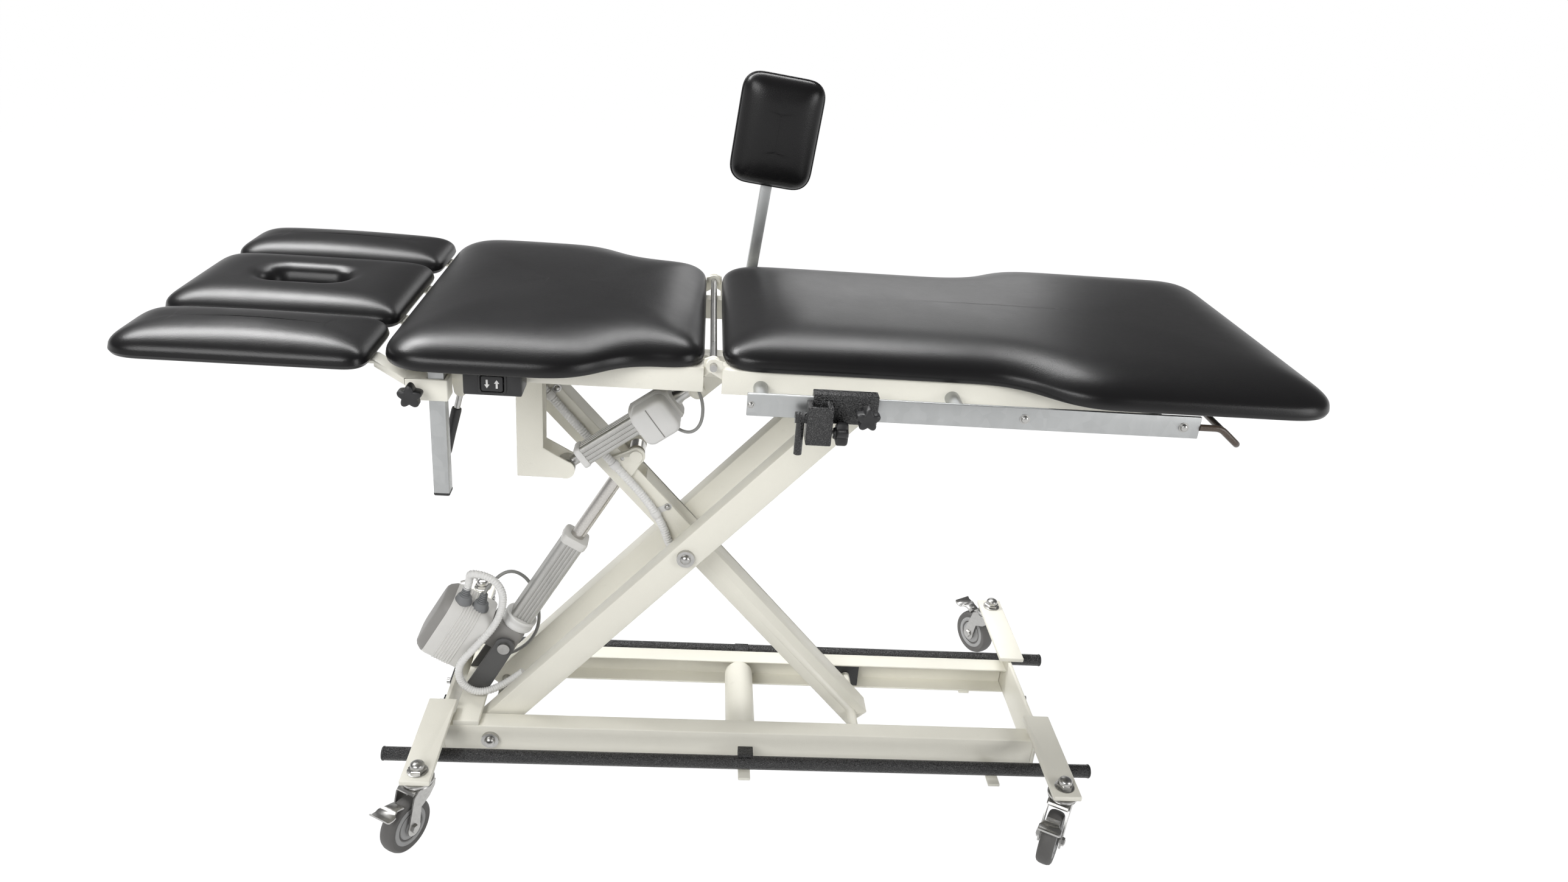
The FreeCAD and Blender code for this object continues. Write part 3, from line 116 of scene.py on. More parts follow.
class Finish:
    """A material under construction."""

    def __init__(self, name):
        self.material = bpy.data.materials.new(name)
        self.material.use_nodes = True
        self.tree = self.material.node_tree
        self.shader = self.tree.nodes["Principled BSDF"]
        self.place = self.node("ShaderNodeTexCoord", out="Object")

    def feed(self, socket, value):
        if isinstance(value, Term):
            self.tree.links.new(value.socket, socket)
        else:
            socket.default_value = value

    def node(self, kind, settings=None, sockets=None, out=0):
        node = self.tree.nodes.new(kind)
        for key, value in (settings or {}).items():
            if key == "stops":
                for stop, (position, grey) in zip(node.color_ramp.elements, value):
                    stop.position = position
                    stop.color = (grey, grey, grey, 1)
            else:
                setattr(node, key, value)
        for key, value in (sockets or {}).items():
            self.feed(node.inputs[key], value)
        return Term(node.outputs[out])

    def noise(self, scale, detail=2.0, rough=0.5):
        sockets = {"Vector": self.place, "Scale": scale, "Detail": detail, "Roughness": rough}
        return self.node("ShaderNodeTexNoise", None, sockets)

    def cells(self, scale, feature="F1", out="Distance"):
        return self.node("ShaderNodeTexVoronoi", {"feature": feature},
                         {"Vector": self.place, "Scale": scale}, out)

    def step(self, value, start, end):
        """A mask that rises from 0 to 1 while the value goes from start to end."""
        return self.node("ShaderNodeValToRGB", {"stops": [(start, 0), (end, 1)]}, {"Fac": value})

    def mix(self, mask, first, second):
        sockets = {0: mask, 6: (*first, 1), 7: (*second, 1)}
        return self.node("ShaderNodeMix", {"data_type": "RGBA"}, sockets, 2)

    def bump(self, height, distance, strength=1.0):
        sockets = {"Height": height, "Distance": distance, "Strength": strength}
        return self.node("ShaderNodeBump", None, sockets)

    def surface(self, **sockets):
        for key, value in sockets.items():
            self.feed(self.shader.inputs[key.replace("_", " ")], value)
        return self.material


def shade(colour, share):
    return tuple(min(1.0, part * share) for part in colour)


print("finish tools ready")

# %% [markdown]
# ## Finishes
# The table has few finishes: a cream powder coat with a faint orange peel, a black hammered coat,
# galvanised and zinc plated steel, bare aluminium, moulded plastics, grey tyres and smooth black vinyl.
# Each is a pattern on Object coordinates, so it holds still on its piece. Roughness varies with the same
# clouds that tint the colour, because handling and dust change both.

# %% Coats and metals


def powder_coat(name, colour, rough, grain, depth):
    finish = Finish(name)
    peel = finish.noise(grain, 2.0)
    cloud = finish.noise(7.0, 4.0)
    scuff = finish.step(finish.noise(60.0, 9.0, 0.7), 0.63, 0.72)
    tint = cloud * 0.5 + scuff * 0.35
    return finish.surface(
        Base_Color=finish.mix(tint, colour, shade(colour, 0.86)),
        Roughness=rough + 0.12 * cloud + 0.1 * scuff,
        Normal=finish.bump(peel, depth),
    )


def hammered_coat(name, colour, fleck):
    finish = Finish(name)
    dent = finish.cells(300.0, "SMOOTH_F1")
    ripple = finish.noise(620.0, 3.0)
    vein = finish.step(ripple, 0.5, 0.68)
    return finish.surface(
        Base_Color=finish.mix(vein * 0.55, colour, fleck),
        Roughness=0.13 + 0.16 * ripple,
        Normal=finish.bump(dent + ripple * 0.7, 0.0022, 0.9),
    )


def plated(name, colour, rough, cell, streak, worn=0.78):
    finish = Finish(name)
    spangle = finish.cells(cell, "F1", "Color")
    stretch = finish.node("ShaderNodeMapping", None, {"Vector": finish.place, "Scale": streak})
    brush = finish.node("ShaderNodeTexNoise", None, {"Vector": stretch, "Scale": 60.0, "Detail": 5.0})
    grey = finish.node("ShaderNodeRGBToBW", None, {"Color": spangle})
    return finish.surface(
        Metallic=1.0,
        Base_Color=finish.mix(grey * 0.5 + brush * 0.5, colour, shade(colour, worn)),
        Roughness=rough + 0.16 * brush + 0.08 * grey,
        Normal=finish.bump(brush, 0.0002, 0.5),
    )


cream = powder_coat("cream_powder_coat", (0.85, 0.83, 0.74), 0.36, 420.0, 0.00025)
black_coat = hammered_coat("black_hammered_coat", (0.01, 0.01, 0.011), (0.13, 0.13, 0.127))
dark_lug = powder_coat("dark_grey_coat", (0.1, 0.1, 0.1), 0.4, 500.0, 0.0003)
galvanised = plated("galvanised_steel", (0.5, 0.51, 0.51), 0.32, 60.0, (1, 1, 0.2), 0.84)
zinc = plated("zinc_plate", (0.52, 0.515, 0.5), 0.2, 220.0, (0.3, 1, 1))
chrome = plated("ground_rod", (0.62, 0.6, 0.57), 0.1, 500.0, (1, 1, 0.1))
aluminium = plated("bare_aluminium", (0.56, 0.555, 0.535), 0.36, 700.0, (1, 1, 0.05))
bronze = powder_coat("bronze_coat", (0.075, 0.055, 0.042), 0.3, 300.0, 0.0003)
print("coats and metals made")

# %% Plastics, tyre and vinyl


def moulded(name, colour, rough, grain=900.0, depth=0.00015):
    finish = Finish(name)
    grit = finish.noise(grain, 2.0)
    cloud = finish.noise(11.0, 5.0)
    dust = finish.step(finish.noise(34.0, 8.0, 0.65), 0.56, 0.78)
    return finish.surface(
        Base_Color=finish.mix(cloud * 0.4 + dust * 0.3, colour, shade(colour, 0.82)),
        Roughness=rough + 0.12 * cloud + 0.08 * dust,
        Normal=finish.bump(grit, depth),
    )


def vinyl_cover(name, colour):
    finish = Finish(name)
    pebble = finish.cells(620.0, "SMOOTH_F1")
    pull = finish.noise(5.0, 3.0)
    rub = finish.noise(42.0, 6.0, 0.6)
    return finish.surface(
        Base_Color=finish.mix(pull * 0.6, colour, shade(colour, 1.6)),
        Roughness=0.24 + 0.1 * pull + 0.06 * rub,
        Specular_IOR_Level=0.32,
        Normal=finish.bump(pebble * 0.5 + rub * 0.4, 0.00035, 0.6),
    )


grey_plastic = moulded("light_grey_plastic", (0.7, 0.69, 0.665), 0.42)
# Dark grey on the lift drive's gearbox; on the lift motor's end face and the back motor's parting line it is
# painted shade.
dark_plastic_and_painted_shade = moulded("mid_grey_plastic", (0.27, 0.262, 0.25), 0.46)
white_plastic = moulded("white_plastic", (0.74, 0.735, 0.72), 0.38)
plug_plastic = moulded("plug_plastic", (0.2, 0.205, 0.21), 0.5)
black_plastic = moulded("black_plastic", (0.016, 0.016, 0.017), 0.36, 700.0, 0.0003)
tyre = moulded("grey_tyre", (0.115, 0.112, 0.108), 0.55, 300.0, 0.0004)
hub_plastic = moulded("hub_plastic", (0.36, 0.36, 0.36), 0.45)
hose_white = moulded("white_hose", (0.78, 0.775, 0.76), 0.4)
cable_grey = moulded("grey_cable", (0.3, 0.3, 0.29), 0.42)
vinyl = vinyl_cover("black_vinyl", (0.0062, 0.006, 0.0064))
print("materials", len(bpy.data.materials))

# %% [markdown]
# ## From a mesh to a piece
# Every piece needs the same closing steps: materials, smooth shading that breaks at real corners, and the
# body that it moves with. Doing it in one helper keeps the later cells about shapes.

# %% Piece helper


def put(name, data):
    """A new object in the scene."""
    thing = bpy.data.objects.new(name, data)
    scene.collection.objects.link(thing)
    return thing


def add_piece(name, shape, body, finishes, stands_for=(), corner=38):
    """Turns a bmesh (or a mesh) into a piece that rides on a body."""
    if isinstance(shape, bmesh.types.BMesh):
        mesh = bpy.data.meshes.new(name)
        shape.to_mesh(mesh)
        shape.free()
    else:
        mesh = shape
        mesh.name = name
    piece = put(name, mesh)
    places = [min(polygon.material_index, len(finishes) - 1) for polygon in mesh.polygons]
    mesh.materials.clear()
    for finish in finishes:
        mesh.materials.append(finish)
    mesh.polygons.foreach_set("material_index", places)
    mesh.polygons.foreach_set("use_smooth", [True] * len(mesh.polygons))
    mesh.set_sharp_from_angle(angle=math.radians(corner))
    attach(piece, body)
    if stands_for:
        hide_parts(*stands_for)
    return piece


def box_mm(node):
    """The lowest and the highest corner of a solid, in millimetres."""
    return [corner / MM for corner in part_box(node)]


body_of_node = {}
for body_name, members in frame["record"]["behaviour"]["bodies"].items():
    for member in members:
        body_of_node[member] = body_name
print("nodes with a body", len(body_of_node))

# %% [markdown]
# ## Rounded edges on the steel
# Folded plate and tube never end in a knife edge, and a render gives that away at once. The solids are
# exact but sharp, so each steel piece is a copy of its solid: its triangles are joined back into flat
# faces, and the long outward edges get a small bevel. A bevel in the shader would look the same, but
# would be missing from the mesh.

# %% Soften the steel pieces


def softened(node, width, long_edge=6.0):
    shape = bmesh.new()
    shape.from_mesh(frame["nodes"][node].data)
    bmesh.ops.remove_doubles(shape, verts=shape.verts, dist=0.02 * MM)
    bmesh.ops.dissolve_limit(shape, angle_limit=math.radians(1.5), verts=shape.verts, edges=shape.edges)
    edges = []
    for edge in shape.edges:
        if len(edge.link_faces) == 2 and edge.is_convex and edge.calc_length() > long_edge * MM:
            if edge.calc_face_angle(0) > math.radians(40):
                edges.append(edge)
    bmesh.ops.bevel(shape, geom=edges, offset=width * MM, offset_type="OFFSET", segments=2, profile=0.5,
                    affect="EDGES", clamp_overlap=False)
    bmesh.ops.remove_doubles(shape, verts=shape.verts, dist=0.01 * MM)
    return shape


STEEL = {
    "cream_enamel": (cream, {
        "base_rails": 1.6, "base_ends": 1.8, "base_crossmembers": 1.6, "near_outer_arm": 1.8,
        "far_outer_arm": 1.8, "inner_arm": 1.8, "top_frame": 1.6, "leg_frame": 1.4, "back_frame": 1.0,
        "drop_bracket": 1.6, "near_arm_carrier": 2.0, "far_arm_carrier": 2.0, "head_frame": 1.6}),
    "black_enamel": (black_coat, {
        "near_foot_bar": 1.2, "far_foot_bar": 1.2, "near_clamp_jaw": 1.8, "far_clamp_jaw": 1.8,
        "near_clamp_socket": 2.0, "far_clamp_socket": 2.0, "near_ratchet": 1.0}),
    "zinc": (galvanised, {"arm_posts": 1.8, "accessory_rails": 1.4, "leg_support_post": 1.6}),
}
for slot_name, (finish, nodes) in STEEL.items():
    for node_name, width in nodes.items():
        add_piece(f"{node_name}_coated", softened(node_name, width), body_of_node[node_name],
                  [finish], [node_name])
add_piece("lift_lugs_coated", softened("lift_lugs", 1.6), "base", [dark_lug], ["lift_lugs"])
add_piece("slide_blocks_moulded", softened("slide_blocks", 1.5), "slide_blocks",
          [black_plastic], ["slide_blocks"])
add_piece("control_box_moulded", softened("control_box", 2.5), "back", [black_plastic],
          ["control_box"])

# %% [markdown]
# ## Solids that stay
# Pins, shafts and the bent foot loop are round already, so they keep their solids and only take a finish.

# %% Finishes for the solids that stay
PLAIN = {
    "base_fasteners": zinc, "outer_arm_shafts": zinc, "hinge_pin": zinc, "lift_rod": chrome,
    "back_rod": zinc, "foot_loop": bronze,
}
for node_name, finish in PLAIN.items():
    for material_slot in frame["nodes"][node_name].material_slots:
        material_slot.material = finish
print("finished in place", sorted(PLAIN))

# %% [markdown]
# ## Shapes from rings
# Knobs, wheels, housings and cushions are all stacks of rings. `loft` joins rings of equal length with
# quads and can close both ends. A frame matrix then carries the shape from its own axes to its place on
# the table.

# %% Ring tools


def loft(shape, rings, caps=True, finish=0):
    """Quads between rings of points; the ends are closed by a face where caps is true."""
    rows = [[shape.verts.new(point) for point in ring] for ring in rings]
    faces = []
    for first, second in zip(rows, rows[1:]):
        count = len(first)
        for i in range(count):
            j = (i + 1) % count
            faces.append(shape.faces.new((first[i], first[j], second[j], second[i])))
    if caps:
        faces.append(shape.faces.new(list(reversed(rows[0]))))
        faces.append(shape.faces.new(rows[-1]))
    for face in faces:
        face.material_index = finish


def circle(radius, height, steps=48):
    turn = 2 * math.pi / steps
    return [Vector((radius * math.cos(i * turn), radius * math.sin(i * turn), height))
            for i in range(steps)]


def turned(shape, profile, finish=0, steps=48):
    """A solid of revolution round local Z from (radius, height) pairs in millimetres."""
    rings = [circle(radius * MM, height * MM, steps) for radius, height in profile]
    loft(shape, rings, finish=finish)


def squared(half_x, half_y, corner, height, steps=6):
    """A rectangle with round corners, as one ring in local XY; all in millimetres."""
    ring = []
    for quarter, (sx, sy) in enumerate(((1, 1), (-1, 1), (-1, -1), (1, -1))):
        for i in range(steps + 1):
            angle = math.pi / 2 * (quarter + i / steps)
            x = sx * (half_x - corner) + corner * math.cos(angle)
            y = sy * (half_y - corner) + corner * math.sin(angle)
            ring.append(Vector((x * MM, y * MM, height * MM)))
    return ring


def along(origin, direction, side):
    """A frame with local Z on direction and local X near side, at a point in metres."""
    z = Vector(direction).normalized()
    y = z.cross(Vector(side)).normalized()
    x = y.cross(z)
    place = Matrix((x, y, z)).transposed().to_4x4()
    place.translation = Vector(origin)
    return place


def settle(shape, place=Matrix.Identity(4)):
    """Carries a finished bmesh to its place and makes its faces point outwards."""
    bmesh.ops.transform(shape, matrix=place, verts=shape.verts)
    bmesh.ops.recalc_face_normals(shape, faces=shape.faces)
    return shape


def absorb(shape, other, place):
    """Carries a second bmesh to its place and adds it to the first."""
    bmesh.ops.transform(other, matrix=place, verts=other.verts)
    part = bpy.data.meshes.new("part")
    other.to_mesh(part)
    other.free()
    shape.from_mesh(part)
    bpy.data.meshes.remove(part)


print("ring tools ready")

# %% [markdown]
# ## Geometry Nodes for what repeats
# Screws, ribs and hose rings repeat, so they come from small node trees. A tree is written once with
# named inputs, set on a modifier, and then turned into a plain mesh, because an exported model keeps no
# instances.

# %% Node tree helper


class Recipe:
    """A Geometry Nodes tree under construction, with named inputs."""

    def __init__(self, name, inputs):
        self.tree = bpy.data.node_groups.new(name, "GeometryNodeTree")
        face = self.tree.interface
        face.new_socket("Geometry", in_out="INPUT", socket_type="NodeSocketGeometry")
        self.keys = {}
        for label, kind in inputs.items():
            self.keys[label] = face.new_socket(label, in_out="INPUT", socket_type=kind).identifier
        face.new_socket("Geometry", in_out="OUTPUT", socket_type="NodeSocketGeometry")
        self.given = self.tree.nodes.new("NodeGroupInput").outputs
        self.result = self.tree.nodes.new("NodeGroupOutput").inputs[0]

    def node(self, kind, settings=None, sockets=None):
        node = self.tree.nodes.new(kind)
        for key, value in (settings or {}).items():
            setattr(node, key, value)
        for key, value in (sockets or {}).items():
            if isinstance(value, bpy.types.NodeSocket):
                self.tree.links.new(value, node.inputs[key])
            else:
                node.inputs[key].default_value = value
        return node.outputs

    def math(self, operation, left, right):
        return self.node("ShaderNodeMath", {"operation": operation}, {0: left, 1: right})[0]

    def end(self, geometry):
        """Every tree ends in real faces with a material."""
        real = self.node("GeometryNodeRealizeInstances", None, {0: geometry})[0]
        painted = self.node("GeometryNodeSetMaterial", None,
                            {"Geometry": real, "Material": self.given["Finish"]})[0]
        self.tree.links.new(painted, self.result)

    def grow(self, carrier, values):
        """The plain mesh that the tree makes from a carrier object, which is removed."""
        modifier = carrier.modifiers.new("grow", "NODES")
        modifier.node_group = self.tree
        for label, value in values.items():
            modifier[self.keys[label]] = value
        bpy.context.view_layer.update()
        evaluated = carrier.evaluated_get(bpy.context.evaluated_depsgraph_get())
        mesh = bpy.data.meshes.new_from_object(evaluated)
        carrier.modifiers.remove(modifier)
        bpy.data.objects.remove(carrier)
        return mesh


def point_carrier(points, facings, sizes):
    """Loose vertices that remember which way a screw faces and how big it is."""
    mesh = bpy.data.meshes.new("points")
    mesh.from_pydata([tuple(point) for point in points], [], [])
    mesh.attributes.new("facing", "FLOAT_VECTOR", "POINT")
    mesh.attributes.new("size", "FLOAT", "POINT")
    for i, (facing, size) in enumerate(zip(facings, sizes)):
        mesh.attributes["facing"].data[i].vector = facing
        mesh.attributes["size"].data[i].value = size
    return put("points", mesh)


print("node tree helper ready")

# %% [markdown]
# ## Screws, dome nuts and clips
# The rails, clips and pivots show button heads on washers. One head is a washer, a cone and a dome of
# radius 1; the tree places it on points, turned to the stored direction and scaled to the stored size.

# %% Button heads
heads = Recipe("button_heads", {"Dome": "NodeSocketFloat", "Finish": "NodeSocketMaterial"})
washer = heads.node("GeometryNodeMeshCylinder", None, {"Vertices": 20, "Radius": 1.3, "Depth": 0.3})[0]
rim = heads.node("GeometryNodeMeshCone", None,
                 {"Vertices": 20, "Radius Top": 0.86, "Radius Bottom": 1.0, "Depth": 0.45})[0]
lifted = heads.node("GeometryNodeTransform", None, {0: rim, "Translation": (0, 0, 0.15)})[0]
ball = heads.node("GeometryNodeMeshUVSphere", None, {"Segments": 20, "Rings": 10, "Radius": 0.86})[0]
tall = heads.node("ShaderNodeCombineXYZ", None, {"X": 1.0, "Y": 1.0, "Z": heads.given["Dome"]})[0]
dome = heads.node("GeometryNodeTransform", None, {0: ball, "Translation": (0, 0, 0.58), "Scale": tall})[0]
joined = heads.node("GeometryNodeJoinGeometry")
for item in (washer, lifted, dome):
    heads.tree.links.new(item, joined[0].node.inputs[0])
facing = heads.node("GeometryNodeInputNamedAttribute", {"data_type": "FLOAT_VECTOR"}, {"Name": "facing"})[0]
size = heads.node("GeometryNodeInputNamedAttribute", {"data_type": "FLOAT"}, {"Name": "size"})[0]
turn = heads.node("FunctionNodeAlignRotationToVector", {"axis": "Z"}, {"Vector": facing})[0]
spread = heads.node("GeometryNodeInstanceOnPoints", None, {
    "Points": heads.given["Geometry"], "Instance": joined[0], "Rotation": turn, "Scale": size})[0]
heads.end(spread)


def add_heads(name, body, spots, dome_height):
    """spots are (point in mm, direction, radius in mm)."""
    points = [Vector(point) * MM for point, _, _ in spots]
    carrier = point_carrier(points, [facing for _, facing, _ in spots],
                            [radius * MM for _, _, radius in spots])
    mesh = heads.grow(carrier, {"Dome": dome_height, "Finish": zinc})
    add_piece(name, mesh, body, [zinc])


MIDDLE_SCREW_X = 441
CROSSING_CAP_Y = 95.5
PIVOT_CAP_Y = 142
rail_low, rail_high = box_mm("accessory_rails")
rail_level = (rail_low.z + rail_high.z) / 2
rail_screws = []
for side in (-1, 1):
    for x, radius in ((rail_low.x + 6, 4.6), (MIDDLE_SCREW_X, 6.4), (rail_high.x - 27, 6.4)):
        rail_screws.append(((x, side * rail_high.y, rail_level), (0, side, 0), radius))
add_heads("rail_screws", "top", rail_screws, 0.4)
crossing = Vector(joints["scissor_fold"]["pos_m"]) / MM
crossing_screws = [((crossing.x, side * CROSSING_CAP_Y, crossing.z), (0, side, 0), 12.0)
                   for side in (-1, 1)]
add_heads("crossing_caps", "outer_arms", crossing_screws, 0.8)
foot_pivot = Vector(joints["lift"]["pos_m"]) / MM
pivot_caps = [((foot_pivot.x, side * PIVOT_CAP_Y, foot_pivot.z), (0, side, 0), 12.0) for side in (-1, 1)]
add_heads("foot_pivot_caps", "base", pivot_caps, 0.8)
print("screws", len(rail_screws) + len(crossing_screws) + len(pivot_caps))

# %% Dome nuts over the casters
shape = bmesh.new()
NUT_REACH = 26 * MM
for name, joint in joints.items():
    if not name.endswith("_swivel"):
        continue
    post = Vector(joint["pos_m"])
    near = [v.co for v in frame["nodes"]["base_fasteners"].data.vertices
            if math.hypot(v.co.x - post.x, v.co.y - post.y) < NUT_REACH and v.co.z > post.z]
    bottom = min(co.z for co in near)
    tall = (max(co.z for co in near) - bottom) / MM
    wide = max(math.hypot(co.x - post.x, co.y - post.y) for co in near) / MM
    nut = bmesh.new()
    turned(nut, [(wide * 1.5, 0), (wide * 1.55, 0.5), (wide * 1.55, 1.8), (wide * 1.45, 2.3)])
    loft(nut, [circle(wide * share * MM, level * MM, 6) for share, level in (
        (1.32, 1.5), (1.38, 2.4), (1.38, tall * 0.5), (1.24, tall * 0.58))])
    crown = [(wide + 0.7, tall * 0.5), (wide + 0.7, tall - 2), (wide + 0.4, tall), (wide * 0.9, tall + 2),
             (wide * 0.68, tall + 3.7), (wide * 0.4, tall + 4.8), (wide * 0.12, tall + 5.2)]
    turned(nut, crown)
    absorb(shape, nut, Matrix.Translation((post.x, post.y, bottom)))
add_piece("caster_dome_nuts", settle(shape), "base", [zinc])
print("dome nut", round(wide * 2.76, 1), "mm wide,", round(tall + 5, 1), "mm tall")

# %% [markdown]
# ## Star knobs
# Five-lobed knobs lock the arm rests and clamps. A lobed ring is a circle whose radius swells five times
# a turn; stacked rings with softer ends give the moulded block, and a small boss carries the stem.

# %% Star knobs


def lobes(radius, height, depth=0.3, steps=80):
    ring = []
    for i in range(steps):
        angle = 2 * math.pi * i / steps
        wave = (0.5 + 0.5 * math.cos(5 * angle)) ** 0.8
        reach = radius * (1 - depth + depth * wave)
        ring.append(Vector((reach * math.cos(angle), reach * math.sin(angle), height)) * MM)
    return ring


def star_knob(radius, depth, stem):
    shape = bmesh.new()
    loft(shape, [lobes(radius * share, height, cut) for share, height, cut in (
        (0.6, 0, 0.1), (0.9, 1, 0.3), (1.0, 3, 0.34), (1.0, depth - 5, 0.34), (0.94, depth - 2, 0.34),
        (0.8, depth - 0.6, 0.3), (0.5, depth, 0.1), (0.3, depth - 1.2, 0.0), (0.1, depth - 1.4, 0.0))])
    turned(shape, [(radius * 0.42, -stem * 0.5), (radius * 0.5, 0), (radius * 0.5, 2)], 0, 32)
    turned(shape, [(4.6, -stem), (5.0, -stem + 1), (5.0, 1)], 1, 24)
    return shape


KNOB_RADIUS = 19.6
KNOB_DEPTH = 20.0
LONG_STEM = 14.0
SHORT_STEM = 7.0


def add_knob(name, body, out, face_point, stem, stands_for=()):
    """face_point is where the knob's stem leaves its carrier, in millimetres."""
    spot = Vector(face_point) * MM + Vector(out) * stem * MM
    shape = settle(star_knob(KNOB_RADIUS, KNOB_DEPTH, stem), along(spot, out, (0, 0, 1)))
    add_piece(name, shape, body, [black_plastic, zinc], stands_for)


for label, out, stem in (("near_arm", (0, -1, 0), LONG_STEM), ("far_arm", (0, 1, 0), LONG_STEM),
                         ("near_jaw", (0, -1, 0), LONG_STEM), ("near_socket", (1, 0, 0), SHORT_STEM)):
    node_name = f"{label}_knob"
    low, high = box_mm(node_name)
    face = [(bottom + top) / 2 - way * (top - bottom) / 2 for bottom, top, way in zip(low, high, out)]
    add_knob(f"{label}_star", node_name, out, face, stem, [node_name])
jaw_corner = box_mm("far_clamp_jaw")[1]
add_knob("far_jaw_star", "far_clamp", (0, 1, 0), (jaw_corner.x - 19, jaw_corner.y - 34, rail_level),
         LONG_STEM)
swing = Vector(joints["far_socket_swing"]["pos_m"]) / MM
post_way = Vector(joints["leg_support_slide"]["axis"])
across = Vector((post_way.z, 0, -post_way.x))
add_knob("far_socket_star", "far_socket", across, swing + across * 20 - post_way * 16, SHORT_STEM)
print("star knobs", 6)

# %% [markdown]
# ## Casters
# Each caster is a pressed fork under a ball race, a wheel with a grey tyre on a paler hub, and a pedal
# that locks it. The wheel is turned from one profile, with a groove between tyre and hub, and a ring on
# the hub's face. The fork's cheeks are plates whose outline runs from the race down to the axle.

# %% Wheels


def caster_wheel():
    shape = bmesh.new()
    half = 15.0
    turned(shape, [(37, -half + 2.6), (46, -half + 0.6), (49.5, -half + 3), (51.4, -half + 8), (52, 0),
                   (51.4, half - 8), (49.5, half - 3), (46, half - 0.6), (37, half - 2.6)], 0, 72)
    turned(shape, [(10, -half - 1), (12, -half + 1), (24, -half + 1.4), (25.5, -half + 3), (28, -half + 3),
                   (29.5, -half + 1), (36, -half + 1.2), (37.6, -half + 3), (37.6, half - 3),
                   (36, half - 1.2), (29.5, half - 1), (28, half - 3), (25.5, half - 3), (24, half - 1.4),
                   (12, half - 1), (10, half + 1)], 1, 72)
    return shape


CASTERS = [f"{end}_{side}_caster" for end in ("head", "foot") for side in ("near", "far")]
for caster in CASTERS:
    roll = joints[f"{caster}_roll"]
    place = along(roll["pos_m"], roll["axis"], (0, 0, 1))
    add_piece(f"{caster}_tyre_wheel", settle(caster_wheel(), place), f"{caster}_wheel",
              [tyre, hub_plastic], [f"{caster}_wheel"])
print("wheels", len(CASTERS))

# %% Forks and pedals


def plate(shape, outline, low, high):
    """A flat plate from an outline in local XZ, between two levels of local Y."""
    loft(shape, [[Vector((x, y, z)) * MM for x, z in outline] for y in (low, high)])


def caster_fork(drop, trail, wall, gap, stud):
    """Local origin on top of the race; local X runs to the wheel; drop is the axle's depth."""
    shape = bmesh.new()
    turned(shape, [(6, stud), (6, 0.5), (24, 0), (29, -3), (29, -7), (26, -10), (20, -12)], 0, 48)
    turned(shape, [(27, -12.4), (25, -10), (12, -9.6)], 0, 48)
    cheek = [(-21, -11), (21, -11), (33, -20)]
    cheek += [(trail + 15 * math.sin(a), -drop + 15 * math.cos(a)) for a in
              (math.radians(step) for step in range(50, 300, 18))]
    cheek += [(trail - 20, -drop + 34), (-4, -38), (-18, -24)]
    for side in (-1, 1):
        inner = side * gap / 2
        outer = inner + side * wall
        plate(shape, cheek, min(inner, outer), max(inner, outer))
    bridge = [(-21, -11), (30, -11), (33, -14), (33, -17), (28, -14.4), (-21, -14.4)]
    plate(shape, bridge, -gap / 2, gap / 2)
    edges = [edge for edge in shape.edges if edge.calc_length() > 4 * MM and edge.calc_face_angle(0) > 1]
    bmesh.ops.bevel(shape, geom=edges, offset=0.7 * MM, offset_type="OFFSET", segments=2, profile=0.5,
                    affect="EDGES", clamp_overlap=True)
    axle = bmesh.new()
    half = gap / 2 + wall
    bolt = [(4, -half - 6), (5.5, -half - 5), (8, -half - 4.6), (9, -half), (5, -half + 1), (5, half - 1),
            (9, half), (8, half + 4.6), (5.5, half + 5), (4, half + 6)]
    turned(axle, bolt, 0, 6)
    spot = Matrix.Translation(Vector((trail, 0, -drop)) * MM)
    absorb(shape, axle, spot @ Matrix.Rotation(math.radians(90), 4, "X"))
    return shape


def brake_pedal(reach, width):
    """A stepped pressing with a turned-up tread. Local origin on the hinge; local X runs outwards."""
    shape = bmesh.new()
    half = width / 2
    path = [(-8, -4), (-2, -1.5), (8, 1.5), (16, 1.5), (20, -1.0), (reach - 14, -2.4), (reach - 5, -1.0),
            (reach, 3)]
    rings = []
    for i, (x, z) in enumerate(path):
        spread = half * (0.62 if i < 3 else 0.8 if i < 4 else 1.0)
        rings.append([Vector((x, y, z + lift)) * MM for y, lift in (
            (-spread, -2.6), (spread, -2.6), (spread, 0.4), (spread - 1.4, 1.4), (-spread + 1.4, 1.4),
            (-spread, 0.4))])
    loft(shape, rings)
    turned(shape, [(3, 0), (4, 0.4), (4, 1)], 0, 16)
    return shape


STEM_HEIGHT = 10.3 * MM
for caster in CASTERS:
    swivel = Vector(joints[f"{caster}_swivel"]["pos_m"])
    axle_point = Vector(joints[f"{caster}_roll"]["pos_m"])
    hinge = Vector(joints[f"{caster}_brake"]["pos_m"])
    stem_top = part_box(f"{caster}_fork")[1].z
    trail = Vector((axle_point.x - swivel.x, axle_point.y - swivel.y, 0))
    race = Vector((swivel.x, swivel.y, stem_top - STEM_HEIGHT))
    side = Vector((0, 0, 1)).cross(trail.normalized())
    place = Matrix((trail.normalized(), side, Vector((0, 0, 1)))).transposed().to_4x4()
    place.translation = race
    drop = (race.z - axle_point.z) / MM
    shape = caster_fork(drop, trail.length / MM, wall=3.0, gap=38.0, stud=10.0)
    add_piece(f"{caster}_pressed_fork", settle(shape, place), caster, [zinc], [f"{caster}_fork"])
    place.translation = hinge
    add_piece(f"{caster}_tread", settle(brake_pedal(reach=40.0, width=42.0), place), f"{caster}_pedal",
              [zinc], [f"{caster}_pedal"])
print("forks and pedals", 2 * len(CASTERS))

